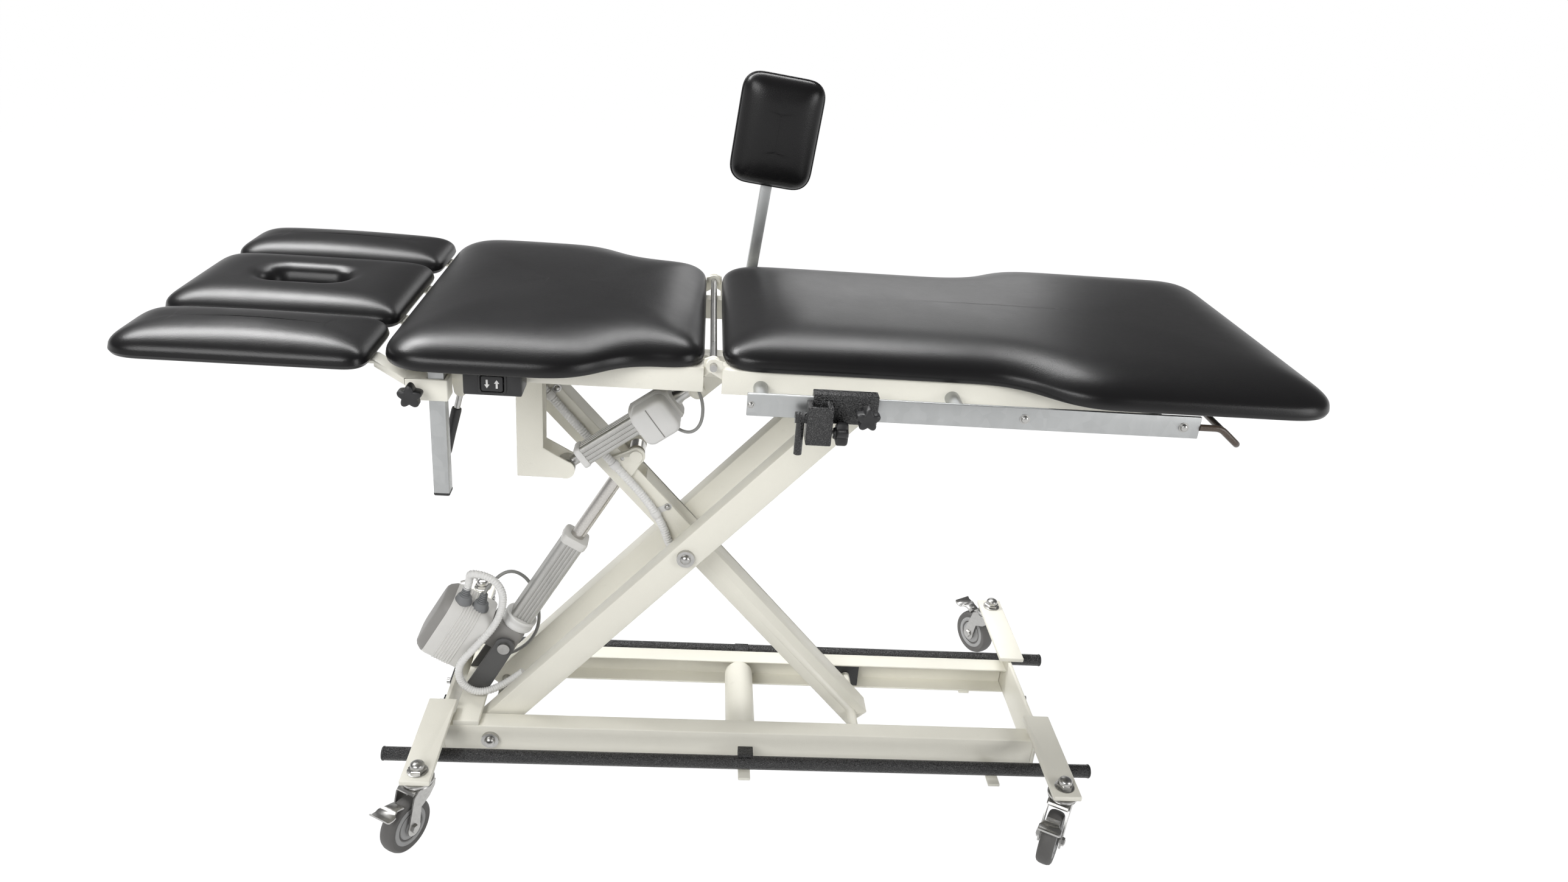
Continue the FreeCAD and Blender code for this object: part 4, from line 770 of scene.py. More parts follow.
# %% [markdown]
# ## Cushions
# The top is foam on board under stretched vinyl. The outline of each pad is read from its solid, and
# rings are drawn from it towards a spine along the middle: flat below, a tight turn at the side, then a
# broad crown. A short cloth run with inner pressure lets the vinyl swell while its underside is held. The
# shifts are then evened out, as stretched vinyl would do it, and scaled so that no point travels far.

# %% Pad outlines


def resampled(points, count):
    """Evenly spaced points round a closed outline, with its small corners eased."""
    closed = points + points[:1]
    lengths = [0.0]
    for a, b in zip(closed, closed[1:]):
        lengths.append(lengths[-1] + (b - a).length)
    result = []
    k = 0
    for i in range(count):
        goal = lengths[-1] * i / count
        while lengths[k + 1] < goal:
            k += 1
        share = (goal - lengths[k]) / max(lengths[k + 1] - lengths[k], 1e-9)
        result.append(closed[k].lerp(closed[k + 1], share))
    for _ in range(6):
        result = [(result[i - 1] + result[i] * 2 + result[(i + 1) % count]) / 4 for i in range(count)]
    return result


def pad_outline(node, count, turn=Matrix.Identity(4)):
    """The widest level of a pad's solid as a ring of 2-D points, and its lowest and highest level."""
    points = [turn @ vertex.co for vertex in frame["nodes"][node].data.vertices]
    low = min(point.z for point in points)
    high = max(point.z for point in points)
    level = min(point.z for point in points if point.z > low + 0.12 * (high - low))
    ring = [point for point in points if abs(point.z - level) < 0.3 * MM]
    centre = Vector(((min(p.x for p in ring) + max(p.x for p in ring)) / 2,
                     (min(p.y for p in ring) + max(p.y for p in ring)) / 2))
    ring.sort(key=lambda p: math.atan2(p.y - centre.y, p.x - centre.x))
    flat = [Vector((p.x, p.y)) for p in ring]
    clean = [flat[0]]
    for point in flat[1:]:
        if (point - clean[-1]).length > 0.5 * MM:
            clean.append(point)
    return resampled(clean, count), low, high


def spine(outline, share=0.86):
    """For each outline point, the point of the pad's middle line that its ring shrinks to."""
    xs = [p.x for p in outline]
    ys = [p.y for p in outline]
    middle = (min(ys) + max(ys)) / 2
    inset = min(max(ys) - min(ys), max(xs) - min(xs)) / 2 * share
    return [Vector((min(max(p.x, min(xs) + inset), max(xs) - inset), middle)) for p in outline]


outline, low, high = pad_outline("leg_cushion", 320)
print("leg pad outline", len(outline), "points, thickness", round((high - low) / MM, 1), "mm")

# %% Padded shapes


def soft_distance(spots, outline, power=4.0, near=6 * MM):
    """Distance to an outline without a ridge along the middle, because the far side counts too."""
    steps = np.linspace(0, 1, 6, endpoint=False)[None, :, None]
    corners = np.array([tuple(p) for p in outline])
    edges = np.roll(corners, -1, axis=0) - corners
    samples = (corners[:, None, :] + edges[:, None, :] * steps).reshape(-1, 2)
    share = np.repeat(np.linalg.norm(edges, axis=1) / 6, 6)
    norm = math.sqrt(math.pi) * math.gamma((power - 1) / 2) / math.gamma(power / 2)
    result = []
    for spot in np.array([tuple(p) for p in spots]):
        gaps = np.maximum(np.linalg.norm(samples - spot, axis=1), 0.01 * MM)
        closest = gaps.min()
        smooth = ((share * gaps ** -power).sum() / norm) ** (-1 / (power - 1))
        result.append(closest if closest < near else smooth)
    return result


def pad_rings(outline, hub, low, high, turn_in, edge, crown, rows, dip=None):
    """Rings from the underside over the side to the middle. turn_in is the width of the rounded border."""
    thick = high - low
    shoulder = low + thick * edge
    rings = []

    def ring(inset_of, level=None):
        flat = []
        for start, end in zip(outline, hub):
            way = end - start
            flat.append(start + way * min(inset_of(way.length) / way.length, 1.0))
        if level is None:
            levels = [upper(spot, away) for spot, away in zip(flat, soft_distance(flat, outline))]
        else:
            levels = [level] * len(flat)
        rings.append([Vector((spot.x, spot.y, z)) for spot, z in zip(flat, levels)])

    def upper(spot, away):
        """Height of the cover: a round border, a slow crown and, round a hole, a dip."""
        turn = 1 - min(away / turn_in, 1.0)
        rise = 1 - math.exp(-away / turn_in)
        fall = dip(spot) * thick if dip else 0.0
        return shoulder + (high - crown - shoulder) * math.sqrt(1 - turn * turn) + crown * rise - fall

    for share in (1.0, 0.75, 0.5, 0.25):
        ring(lambda span: max(span * share, 14 * MM), low)
    for inset, level in ((10, 0), (4, 0.8), (1.2, 3), (0, 7)):
        ring(lambda span: inset * MM, low + level * MM)
    ring(lambda span: -1.5 * MM, low + thick * edge * 0.6)
    ring(lambda span: 0.0, shoulder)
    for i in range(1, 11):
        inset = 1 - math.cos(math.radians(90 * i / 10))
        ring(lambda span: min(turn_in, span) * inset)
    for i in range(1, rows + 1):
        share = i / rows
        ring(lambda span: turn_in + max(span - turn_in, 0.0) * share)
    return rings


def pad_shape(rings, open_middle=False):
    """The closed skin of a pad."""
    shape = bmesh.new()
    loft(shape, rings + ([rings[0]] if open_middle else []), caps=False)
    bmesh.ops.remove_doubles(shape, verts=shape.verts, dist=0.05 * MM)
    return settle(shape)


CLOTH_FRAMES = 20
TAUT_PASSES = 60
SWELL_CAP = 4 * MM
HELD_RIM = 9 * MM
PAD_CORNER = 80


def plump(piece, hold_below, axis=2, sign=1):
    """Swells a pad with a short cloth run that holds what is below a level, then pulls it taut."""
    start = [vertex.co.copy() for vertex in piece.data.vertices]
    held = piece.vertex_groups.new(name="held")
    held.add([i for i, co in enumerate(start) if co[axis] * sign < hold_below * sign], 1.0, "REPLACE")
    cloth = piece.modifiers.new("plump", "CLOTH")
    cloth.settings.quality = 4
    cloth.settings.mass = 0.3
    cloth.settings.tension_stiffness = 12
    cloth.settings.compression_stiffness = 12
    cloth.settings.bending_stiffness = 0.6
    cloth.settings.use_pressure = True
    cloth.settings.uniform_pressure_force = 4.0
    cloth.settings.effector_weights.gravity = 0
    cloth.settings.vertex_group_mass = "held"
    for step in range(1, CLOTH_FRAMES + 1):
        scene.frame_set(step)
    evaluated = piece.evaluated_get(bpy.context.evaluated_depsgraph_get())
    shifts = np.array([tuple(vertex.co - first) for vertex, first in zip(evaluated.data.vertices, start)])
    piece.modifiers.remove(cloth)
    piece.vertex_groups.remove(held)
    ends = np.array([edge.vertices[:] for edge in piece.data.edges])
    count = np.maximum(np.bincount(ends.ravel(), minlength=len(start)), 1)[:, None]
    for _ in range(TAUT_PASSES):
        pulled = np.zeros_like(shifts)
        np.add.at(pulled, ends[:, 0], shifts[ends[:, 1]])
        np.add.at(pulled, ends[:, 1], shifts[ends[:, 0]])
        shifts = 0.4 * shifts + 0.6 * pulled / count
    most = np.linalg.norm(shifts, axis=1).max()
    shifts *= min(1.0, SWELL_CAP / most)
    for vertex, first, shift in zip(piece.data.vertices, start, shifts):
        vertex.co = first + Vector(shift)
    piece.data.update()
    scene.frame_set(1)
    return min(most, SWELL_CAP)


def finish_pad(piece):
    smooth = piece.modifiers.new("smooth", "SUBSURF")
    smooth.levels = 1
    smooth.render_levels = 1


PAD_EDGE = 0.26
PAD_CROWN = 10 * MM
# For each pad: its body, points round the outline, width of the rounded border in mm, rows to the middle.
PADS = {
    "leg_cushion": ("top", 300, 110, 12),
    "back_cushion": ("back", 260, 110, 12),
    "near_arm_cushion": ("near_arm_rest", 140, 60, 8),
    "far_arm_cushion": ("far_arm_rest", 140, 60, 8),
}
for node_name, (body_name, count, turn_in, rows) in PADS.items():
    outline, low, high = pad_outline(node_name, count)
    rings = pad_rings(outline, spine(outline), low, high - SWELL_CAP, turn_in * MM, PAD_EDGE,
                      PAD_CROWN, rows)
    pad = add_piece(f"{node_name}_cover", pad_shape(rings), body_name, [vinyl], [node_name],
                    PAD_CORNER)
    most = plump(pad, low + HELD_RIM)
    finish_pad(pad)
    print(node_name, "faces", len(pad.data.polygons), "swell", round(most / MM, 1), "mm")

# %% [markdown]
# ## The head pad and its face slot
# The head pad has a slot for the face. Its rings shrink to the slot's outline instead of to a spine, roll
# over the slot's edge and come back up from below, so that the pad is one closed skin with a hole.

# %% Head pad
outline, low, high = pad_outline("head_cushion", 200)
slot_box = next(o for o in frame["record"]["physics"]["openings"] if o["name"] == "face_slot")["box_m"]
slot_x = (slot_box[0][0] + slot_box[1][0]) / 2
SLOT_HALF_LONG = 66 * MM
SLOT_HALF_WIDE = 31 * MM
SLOT_ROLL = 34 * MM
SLOT_DIP = 0.55


def slot_point(point):
    """The slot's edge in the direction of an outline point."""
    run = SLOT_HALF_LONG - SLOT_HALF_WIDE
    x = min(max(point.x - slot_x, -run), run)
    away = Vector((point.x - slot_x - x, point.y)).normalized() * SLOT_HALF_WIDE
    return Vector((slot_x + x + away.x, away.y))


def slot_dip(spot):
    """How far the cover rolls down into the slot, as a share of the pad's thickness."""
    away = (spot - slot_point(spot)).length
    near = max(0.0, 1 - away / SLOT_ROLL)
    return SLOT_DIP * (1 - math.sqrt(1 - near * near))


hub = [slot_point(point) for point in outline]
rings = pad_rings(outline, hub, low, high - 5 * MM, turn_in=64 * MM, edge=0.28, crown=8 * MM, rows=12,
                  dip=slot_dip)
for share in (0.65, 0.3):
    rings.append([Vector((point.x, point.y, low + (point.z - low) * share)) for point in rings[-1]])
pad = add_piece("head_cushion_cover", pad_shape(rings, True), "head", [vinyl], ["head_cushion"],
                PAD_CORNER)
most = plump(pad, low + HELD_RIM)
finish_pad(pad)
print("head pad faces", len(pad.data.polygons), "swell", round(most / MM, 1), "mm")

# %% [markdown]
# ## The leg support's pad
# The small upright pad is built lying down, in the frame of its leaning post, and then stood up. A sewn
# welt runs round its front edge: a thin cord of vinyl, which a node tree sweeps along one of the pad's
# rings.

# %% Leg support pad and welt
lean = Vector(joints["leg_support_slide"]["axis"])
stand = along((0, 0, 0), (0, -1, 0), lean)
outline, low, high = pad_outline("leg_support_pad", 140, stand.inverted())
rings = pad_rings(outline, spine(outline), low, high - 3 * MM, turn_in=44 * MM, edge=0.4, crown=6 * MM,
                  rows=8)
shape = pad_shape(rings)
bmesh.ops.transform(shape, matrix=stand, verts=shape.verts)
pad = add_piece("leg_support_cover", shape, "leg_support", [vinyl], ["leg_support_pad"],
                PAD_CORNER)
front = (stand @ Vector((0, 0, low + 14 * MM))).y
most = plump(pad, front, 1, -1)
finish_pad(pad)
welt = Recipe("welt", {"Width": "NodeSocketFloat", "Finish": "NodeSocketMaterial"})
line = welt.node("GeometryNodeMeshToCurve", None, {"Mesh": welt.given["Geometry"]})[0]
section = welt.node("GeometryNodeCurvePrimitiveCircle", None,
                    {"Resolution": 8, "Radius": welt.given["Width"]})[0]
swept = welt.node("GeometryNodeCurveToMesh", None, {"Curve": line, "Profile Curve": section})[0]
welt.end(swept)


def ring_carrier(points):
    mesh = bpy.data.meshes.new("ring")
    count = len(points)
    mesh.from_pydata([tuple(p) for p in points], [(i, (i + 1) % count) for i in range(count)], [])
    return put("ring", mesh)


SHOULDER_RING = 9
seam = [stand @ point for point in rings[SHOULDER_RING]]
mesh = welt.grow(ring_carrier(seam), {"Width": 2.2 * MM, "Finish": vinyl})
add_piece("leg_support_welt", mesh, "leg_support", [vinyl])
print("leg support pad swell", round(most / MM, 1), "mm; welt faces", len(mesh.polygons))

# %% [markdown]
# ## Lift drive
# The lift is an electric ram: gearbox on the base pin, a motor square to it, a grooved aluminium tube
# with a plastic collar and cap, and a bright rod. All of it is lofted in the drive's own axes, with local
# Z on the stroke, so the parts stay true to each other at any lean. The motor's cooling ribs repeat, so a
# node tree makes them.

# %% Gearbox, tube and cap
lift_pin = Vector(joints["lift_drive_swing"]["pos_m"])
lift_axis = Vector(joints["lift_stroke"]["axis"])
lift_out = Vector((-lift_axis.z, 0, lift_axis.x))
lift_place = along(lift_pin, lift_axis, lift_out)


def shifted(ring, x=0.0, y=0.0):
    return [point + Vector((x * MM, y * MM, 0)) for point in ring]


def grooved(half, height, grooves, corner=9.0):
    """A square tube's ring with shallow grooves along its flats."""
    ring = []
    cuts = [(-half + corner + 4 + i * (2 * half - 2 * corner - 8) / (grooves - 1)) for i in range(grooves)]
    for quarter in range(4):
        turn = Matrix.Rotation(math.pi / 2 * quarter, 4, "Z")
        side = [(half, -half + corner)]
        for cut in cuts:
            side += [(half, cut - 1.5), (half - 1.3, cut - 0.7), (half - 1.3, cut + 0.7), (half, cut + 1.5)]
        side.append((half, half - corner))
        for i in range(1, 5):
            angle = math.pi / 2 * i / 5
            side.append((half - corner + corner * math.cos(angle),
                         half - corner + corner * math.sin(angle)))
        ring += [turn @ (Vector((x, y, height)) * MM) for x, y in side]
    return ring


shape = bmesh.new()
loft(shape, [shifted(squared(hx, hy, 11, z), 10.5) for hx, hy, z in (
    (28, 25, -25), (33, 29, -22), (34.5, 30, -17), (34.5, 30, 32), (33, 29, 36), (29, 26, 38))], finish=1)
turned(shape, [(29, 36), (32, 38), (33, 41), (33, 46), (31.5, 48), (31.5, 53), (33, 55), (33, 60), (31, 62),
               (25, 62.5)], 2)
loft(shape, [grooved(23.2, z, 4) for z in (60, 264)])
loft(shape, [squared(h, h, c, z) for h, c, z in (
    (23.6, 9, 261), (25.4, 10, 262), (26.2, 10.5, 265), (26.2, 10.5, 275), (25, 10, 279), (22, 10, 280),
    (15, 9, 279))], finish=3)
add_piece("lift_tube_housing", settle(shape, lift_place), "lift_actuator",
          [aluminium, dark_plastic_and_painted_shade, white_plastic, grey_plastic], ["lift_tube"])
print("lift drive leans", round(math.degrees(math.atan2(lift_axis.z, lift_axis.x)), 1), "degrees")

# %% Motor housing, ribs and plugs
motor_place = along(lift_pin, lift_out, lift_axis)
MOTOR_X = -32.0
shape = bmesh.new()
loft(shape, [shifted(squared(hx, hy, c, z), MOTOR_X) for hx, hy, c, z in (
    (58, 42, 20, 45), (66, 49, 24, 47), (69, 51.5, 26, 52), (69.5, 51.5, 27, 70), (70, 52, 28, 126),
    (69, 51, 28, 134))])
# The chamfered end takes the dark plastic: painted shade on the motor's end face.
loft(shape, [shifted(squared(hx, hy, c, z), MOTOR_X) for hx, hy, c, z in (
    (69, 51, 28, 133), (68, 50, 27, 137), (62, 45, 24, 147), (57, 40, 22, 151), (50, 34, 18, 152))],
     finish=1)
add_piece("lift_motor_housing", settle(shape, motor_place), "lift_actuator",
          [grey_plastic, dark_plastic_and_painted_shade], ["lift_motor"])

ribs = Recipe("cooling_ribs", {
    "Count": "NodeSocketInt", "Pitch": "NodeSocketFloat", "Width": "NodeSocketFloat",
    "Height": "NodeSocketFloat", "Corner": "NodeSocketFloat", "Bead": "NodeSocketFloat",
    "Finish": "NodeSocketMaterial"})
frame_line = ribs.node("GeometryNodeCurvePrimitiveQuadrilateral", None,
                       {"Width": ribs.given["Width"], "Height": ribs.given["Height"]})[0]
rounded = ribs.node("GeometryNodeFilletCurve", {"mode": "POLY"},
                    {"Curve": frame_line, "Radius": ribs.given["Corner"], "Count": 6})[0]
bead = ribs.node("GeometryNodeCurvePrimitiveCircle", None,
                 {"Resolution": 8, "Radius": ribs.given["Bead"]})[0]
loop = ribs.node("GeometryNodeCurveToMesh", None, {"Curve": rounded, "Profile Curve": bead})[0]
rise = ribs.node("ShaderNodeCombineXYZ", None, {"Z": ribs.given["Pitch"]})[0]
row = ribs.node("GeometryNodeMeshLine", None, {"Count": ribs.given["Count"], "Offset": rise})[0]
ribs.end(ribs.node("GeometryNodeInstanceOnPoints", None, {"Points": row, "Instance": loop})[0])


def rib_mesh(place, count, pitch, width, height, corner, bead_size, finish):
    mesh = ribs.grow(point_carrier([(0, 0, 0)], [(0, 0, 1)], [1]), {
        "Count": count, "Pitch": pitch * MM, "Width": width * MM, "Height": height * MM,
        "Corner": corner * MM, "Bead": bead_size * MM, "Finish": finish})
    mesh.transform(place)
    return mesh


rib_place = motor_place @ Matrix.Translation(Vector((MOTOR_X, 0, 76)) * MM)
mesh = rib_mesh(rib_place, count=7, pitch=5.6, width=139.4, height=103.4, corner=27, bead_size=1.5,
                finish=grey_plastic)
add_piece("lift_motor_ribs", mesh, "lift_actuator", [grey_plastic])

boot_way = (lift_axis + lift_out * 0.25).normalized()
plug_spots = [motor_place @ (Vector(spot) * MM) for spot in ((38, -18, 116), (38, -12, 80))]
shape = bmesh.new()
for spot in plug_spots:
    plug = bmesh.new()
    turned(plug, [(17, -2), (17, 3), (15, 6), (14, 12), (12, 14), (10, 14.4)], 0, 32)
    boot = [(10, 13)]
    for i in range(5):
        boot += [(9.4 - i * 0.5, 15 + i * 4), (9.4 - i * 0.5, 17 + i * 4), (7.2 - i * 0.4, 17.4 + i * 4),
                 (7.2 - i * 0.4, 18.6 + i * 4)]
    turned(plug, boot, 0, 24)
    absorb(shape, plug, along(spot, boot_way, (0, 1, 0)))
add_piece("lift_motor_plugs", settle(shape), "lift_actuator", [plug_plastic])
print("motor plugs", len(plug_spots))

# %% [markdown]
# ## Back drive
# The back's drive is a smaller ram of the same family: a square grooved tube, a gearbox and a rounded
# motor block that faces the near side. The block has a parting line across its face, made as a fine dark
# bead that paints the shade of the parting groove.

# %% Back drive and motor
back_pin = Vector(joints["back_rod_swing"]["pos_m"])
back_axis = Vector(joints["back_stroke"]["axis"])
back_up = Vector((-back_axis.z, 0, back_axis.x))
back_place = along(back_pin, back_axis, back_up)
EYE_RADIUS = 16
high = box_mm("back_drive")[1]
rear_eye = Vector((high.x - EYE_RADIUS, back_pin.y / MM, high.z - EYE_RADIUS))
back_reach = (rear_eye * MM - back_pin).dot(back_axis) / MM
shape = bmesh.new()
loft(shape, [grooved(18.6, z, 3, 6.0) for z in (36, 160)])
loft(shape, [squared(h, h, 7, z) for h, z in ((16, 30.5), (20, 31), (21, 33), (21, 40), (19.5, 43))],
     finish=2)
loft(shape, [squared(hx, hy, 14, z) for hx, hy, z in (
    (22, 19, 154), (29, 23, 157), (32, 25, 162), (32, 25, 234), (29, 23, 239), (18, 15, 241))], finish=1)
turned(shape, [(15, 238), (13, 246), (11, 252), (11, back_reach - 12)], 3, 28)
eye = bmesh.new()
turned(eye, [(7, -15), (14.6, -15), (EYE_RADIUS, -13.6), (EYE_RADIUS, 13.6), (14.6, 15), (7, 15)], 3, 36)
absorb(shape, eye, Matrix.Translation((0, 0, back_reach * MM)) @ Matrix.Rotation(math.pi / 2, 4, "X"))
add_piece("back_drive_housing", settle(shape, back_place), "back_actuator",
          [aluminium, grey_plastic, white_plastic, zinc], ["back_drive"])

low, high = box_mm("back_motor")
centre = (low + high) / 2
depth = high.y - low.y
face_place = along(Vector((centre.x, high.y, centre.z)) * MM, (0, -1, 0), back_axis)
shape = bmesh.new()
loft(shape, [squared(h, h, c, z) for h, c, z in (
    (33, 16, -16), (35, 17, -12), (36, 17, -4), (36, 16, depth - 12), (35, 15.5, depth - 6),
    (32.5, 14, depth - 2), (29, 12, depth - 0.3), (20, 9, depth))])
# The parting line is a thin dark bead: painted shade where the two halves of the block meet.
loft(shape, [squared(1.0, 30.5, 0.9, z) for z in (depth - 3, depth + 0.35)], finish=1)
add_piece("back_motor_housing", settle(shape, face_place), "back_actuator",
          [white_plastic, dark_plastic_and_painted_shade], ["back_motor"])
rib_place = face_place @ Matrix.Translation((0, 0, -9 * MM))
mesh = rib_mesh(rib_place, count=4, pitch=4.4, width=71.6, height=71.6, corner=16.5, bead_size=1.0,
                finish=white_plastic)
add_piece("back_motor_ribs", mesh, "back_actuator", [white_plastic])
print("back drive reach", round(back_reach, 1), "mm")

# %% [markdown]
# ## Levers, switch and caps
# Small parts carry much of the likeness: the head release with its black grip, the rocker with an arrow
# for up and one for down, and the black caps in the ends of tubes.

# %% Head release lever
pivot = Vector(joints["head_release"]["pos_m"])
tip = min((vertex.co for vertex in frame["nodes"]["head_lever"].data.vertices), key=lambda co: co.z)
reach = Vector((tip.x - pivot.x, 0, tip.z - pivot.z))
grip_end = reach.length / MM
shape = bmesh.new()
turned(shape, [(4.5, 6), (5, 8), (5, grip_end - 84)], 0, 20)
turned(shape, [(5.5, grip_end - 88), (7.6, grip_end - 87), (8.3, grip_end - 83), (8.0, grip_end - 40),
               (8.5, grip_end - 8), (7.6, grip_end - 2.4), (5, grip_end - 0.4), (1, grip_end)], 1, 28)
hub = bmesh.new()
turned(hub, [(4.1, -6), (9.2, -6), (10, -5), (10, 5), (9.2, 6), (4.1, 6)], 0, 28)
absorb(shape, hub, Matrix.Rotation(math.pi / 2, 4, "X"))
add_piece("head_release_lever", settle(shape, along(pivot, reach, (1, 0, 0))), "head_lever",
          [zinc, black_plastic], ["head_lever"])
print("lever length", round(grip_end, 1), "mm")

# %% Rocker with arrows
ROCKER_LENGTH = 34.0
low, high = box_mm("rocker")
centre = (low + high) / 2
face = along(Vector((centre.x, high.y, centre.z)) * MM, (0, -1, 0), (1, 0, 0))
half_x = ROCKER_LENGTH / 2
half_z = (high.z - low.z) / 2
depth = high.y - low.y
shape = bmesh.new()
loft(shape, [squared(half_x - a, half_z - a, 3, z) for a, z in (
    (0.4, 0), (0, 1), (0, depth - 2), (0.8, depth - 0.6), (2.4, depth - 0.2), (5, depth - 0.5))])
arrow = [(-1.5, -7), (1.5, -7), (1.5, 1), (4, 1), (0, 7), (-4, 1), (-1.5, 1)]
for x, way in ((-7.5, -1), (7.5, 1)):
    points = [(x + px, way * pz) for px, pz in arrow]
    loft(shape, [[Vector((px, pz, z)) * MM for px, pz in points] for z in (depth - 2, depth + 0.25)],
         finish=1)
add_piece("rocker_switch", settle(shape, face), "rocker", [black_plastic, white_plastic],
          ["rocker"])

front = box_mm("control_box")[0].y
surround = along(Vector((centre.x, front, centre.z)) * MM, (0, -1, 0), (1, 0, 0))
shape = bmesh.new()
loft(shape, [squared(half_x + a, half_z + a, 3 + a, z) for a, z in (
    (5, -0.5), (5, 1.2), (4, 2), (2, 2), (1.2, 1.2), (1.2, -2))], caps=False)
add_piece("rocker_surround", settle(shape, surround), "back", [black_plastic])
print("rocker", round(half_x * 2), "by", round(half_z * 2), "mm")

# %% Caps in tube ends
POST_HALF = 12.5
BAR_RADIUS = 13.35
post_low, post_high = box_mm("arm_posts")
shape = bmesh.new()
for side in (-1, 1):
    x = (post_low.x + post_high.x) / 2
    y = side * (post_high.y - POST_HALF)
    loft(shape, [shifted(squared(h, h, 3, z), x, y) for h, z in (
        (10, post_low.z - 1.5), (12.4, post_low.z - 1), (13, post_low.z + 0.6), (13, post_low.z + 3))])
add_piece("post_caps", settle(shape), "back", [black_plastic])
for label, side in (("near", -1), ("far", 1)):
    low, high = box_mm(f"{label}_foot_bar")
    bar_y = side * (max(abs(low.y), abs(high.y)) - BAR_RADIUS)
    shape = bmesh.new()
    for x, way in ((low.x, -1), (high.x, 1)):
        cap = bmesh.new()
        turned(cap, [(13.2, -1), (13.9, -0.4), (13.9, 2), (12.4, 3.6), (4, 4)], 0, 32)
        spot = Vector((x, bar_y, low.z + BAR_RADIUS)) * MM
        absorb(shape, cap, along(spot, (way, 0, 0), (0, 0, 1)))
    add_piece(f"{label}_bar_caps", settle(shape), f"{label}_foot_bar", [black_plastic])
print("caps", 6)

# %% [markdown]
# ## Hoses and cables
# One ringed white hose guards the wires from the lift motor down to the base, another runs along the
# inner arm, and thin grey cables serve the two motors. Each route is one NURBS line through a few control
# points. A node tree reads that line, swells and narrows it at a fixed pitch for the rings, and sweeps a
# circle along it.

# %% Hose recipe
hose = Recipe("ringed_hose", {
    "Radius": "NodeSocketFloat", "Pitch": "NodeSocketFloat", "Swell": "NodeSocketFloat",
    "Finish": "NodeSocketMaterial"})
quarter = hose.math("DIVIDE", hose.given["Pitch"], 4.0)
even = hose.node("GeometryNodeResampleCurve", {"mode": "LENGTH"},
                 {"Curve": hose.given["Geometry"], "Length": quarter})[0]
index = hose.node("GeometryNodeInputIndex")[0]
wave = hose.node("ShaderNodeMath", {"operation": "SINE"}, {0: hose.math("MULTIPLY", index, math.pi / 2)})[0]
swell = hose.math("ADD", hose.math("MULTIPLY", wave, hose.given["Swell"]), 1.0)
thick = hose.node("GeometryNodeSetCurveRadius", None, {"Curve": even, "Radius": swell})[0]
section = hose.node("GeometryNodeCurvePrimitiveCircle", None,
                    {"Resolution": 12, "Radius": hose.given["Radius"]})[0]
tube = hose.node("GeometryNodeCurveToMesh", None,
                 {"Curve": thick, "Profile Curve": section, "Fill Caps": True})
if "Scale" in tube[0].node.inputs:
    hose.tree.links.new(swell, tube[0].node.inputs["Scale"])
hose.end(tube[0])


def route_line(name, points):
    """A NURBS line through control points in millimetres, with the points it is drawn through."""
    curve = bpy.data.curves.new(name, "CURVE")
    curve.dimensions = "3D"
    curve.resolution_u = 12
    spline = curve.splines.new("NURBS")
    spline.points.add(len(points) - 1)
    for point, spot in zip(spline.points, points):
        point.co = (*(Vector(spot) * MM), 1)
    spline.order_u = 3
    spline.use_endpoint_u = True
    line = put(name, curve)
    bpy.context.view_layer.update()
    drawn = bpy.data.meshes.new_from_object(line.evaluated_get(bpy.context.evaluated_depsgraph_get()))
    path = [tuple(vertex.co) for vertex in drawn.vertices]
    return line, path


def add_hose(name, points, diameter, pitch, swell_share, finish, rides=None, bends=None):
    line, path = route_line(name, points)
    mesh = hose.grow(line, {"Radius": diameter / 2 * MM / (1 + swell_share), "Pitch": pitch * MM,
                            "Swell": swell_share, "Finish": finish})
    mesh.name = name
    piece = put(name, mesh)
    mesh.polygons.foreach_set("use_smooth", [True] * len(mesh.polygons))
    if bends:
        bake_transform(piece)
    else:
        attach(piece, rides)
    return path


# %% Routes
BOOT_REACH = 30
ARM_HOSE_Y = -34.6
start_one, start_two = (spot / MM + boot_way * BOOT_REACH for spot in plug_spots)
add_hose("motor_hose", [
    start_one, start_one + boot_way * 22, (-500, -35, 398), (-454, -35, 386), (-434, -35, 345),
    (-450, -40, 285), (-490, -62, 242), (-524, -72, 205), (-520, -72, 160), (-486, -68, 134),
    (-440, -46, 140), (-400, -46, 176)],
    diameter=16, pitch=5.0, swell_share=0.09, finish=hose_white,
    bends=("lift_actuator", "base", (-0.47, -0.06, 0.36), (-0.48, -0.07, 0.15)))
add_hose("motor_cable", [
    start_two, start_two + boot_way * 18, (-440, 26, 372), (-404, 44, 345), (-384, 50, 290),
    (-380, 52, 220), (-410, 54, 165), (-470, 56, 134), (-496, 58, 128)],
    diameter=7, pitch=6.0, swell_share=0.0, finish=cable_grey,
    bends=("lift_actuator", "base", (-0.44, 0.02, 0.36), (-0.4, 0.05, 0.15)))
arm_path = add_hose("arm_hose", [(x, ARM_HOSE_Y, z) for x, z in (
    (-104, 455), (-118, 478), (-132, 522), (-164, 574), (-209, 626), (-240, 660), (-284, 709), (-320, 750),
    (-345, 780), (-372, 812))],
    diameter=17, pitch=5.0, swell_share=0.09, finish=hose_white,
    rides="inner_arm")
add_hose("back_motor_cable", [
    (-122, -82, 822), (-112, -92, 842), (-84, -100, 846), (-66, -106, 806), (-70, -108, 762),
    (-96, -110, 748), (-118, -110, 764)],
    diameter=6, pitch=6.0, swell_share=0.0, finish=cable_grey,
    rides="back_actuator")

# %% [markdown]
# ## Hose clips
# Three P-clips hold the hose to the inner arm. Each is a band round the hose with a flat tab under a
# screw.

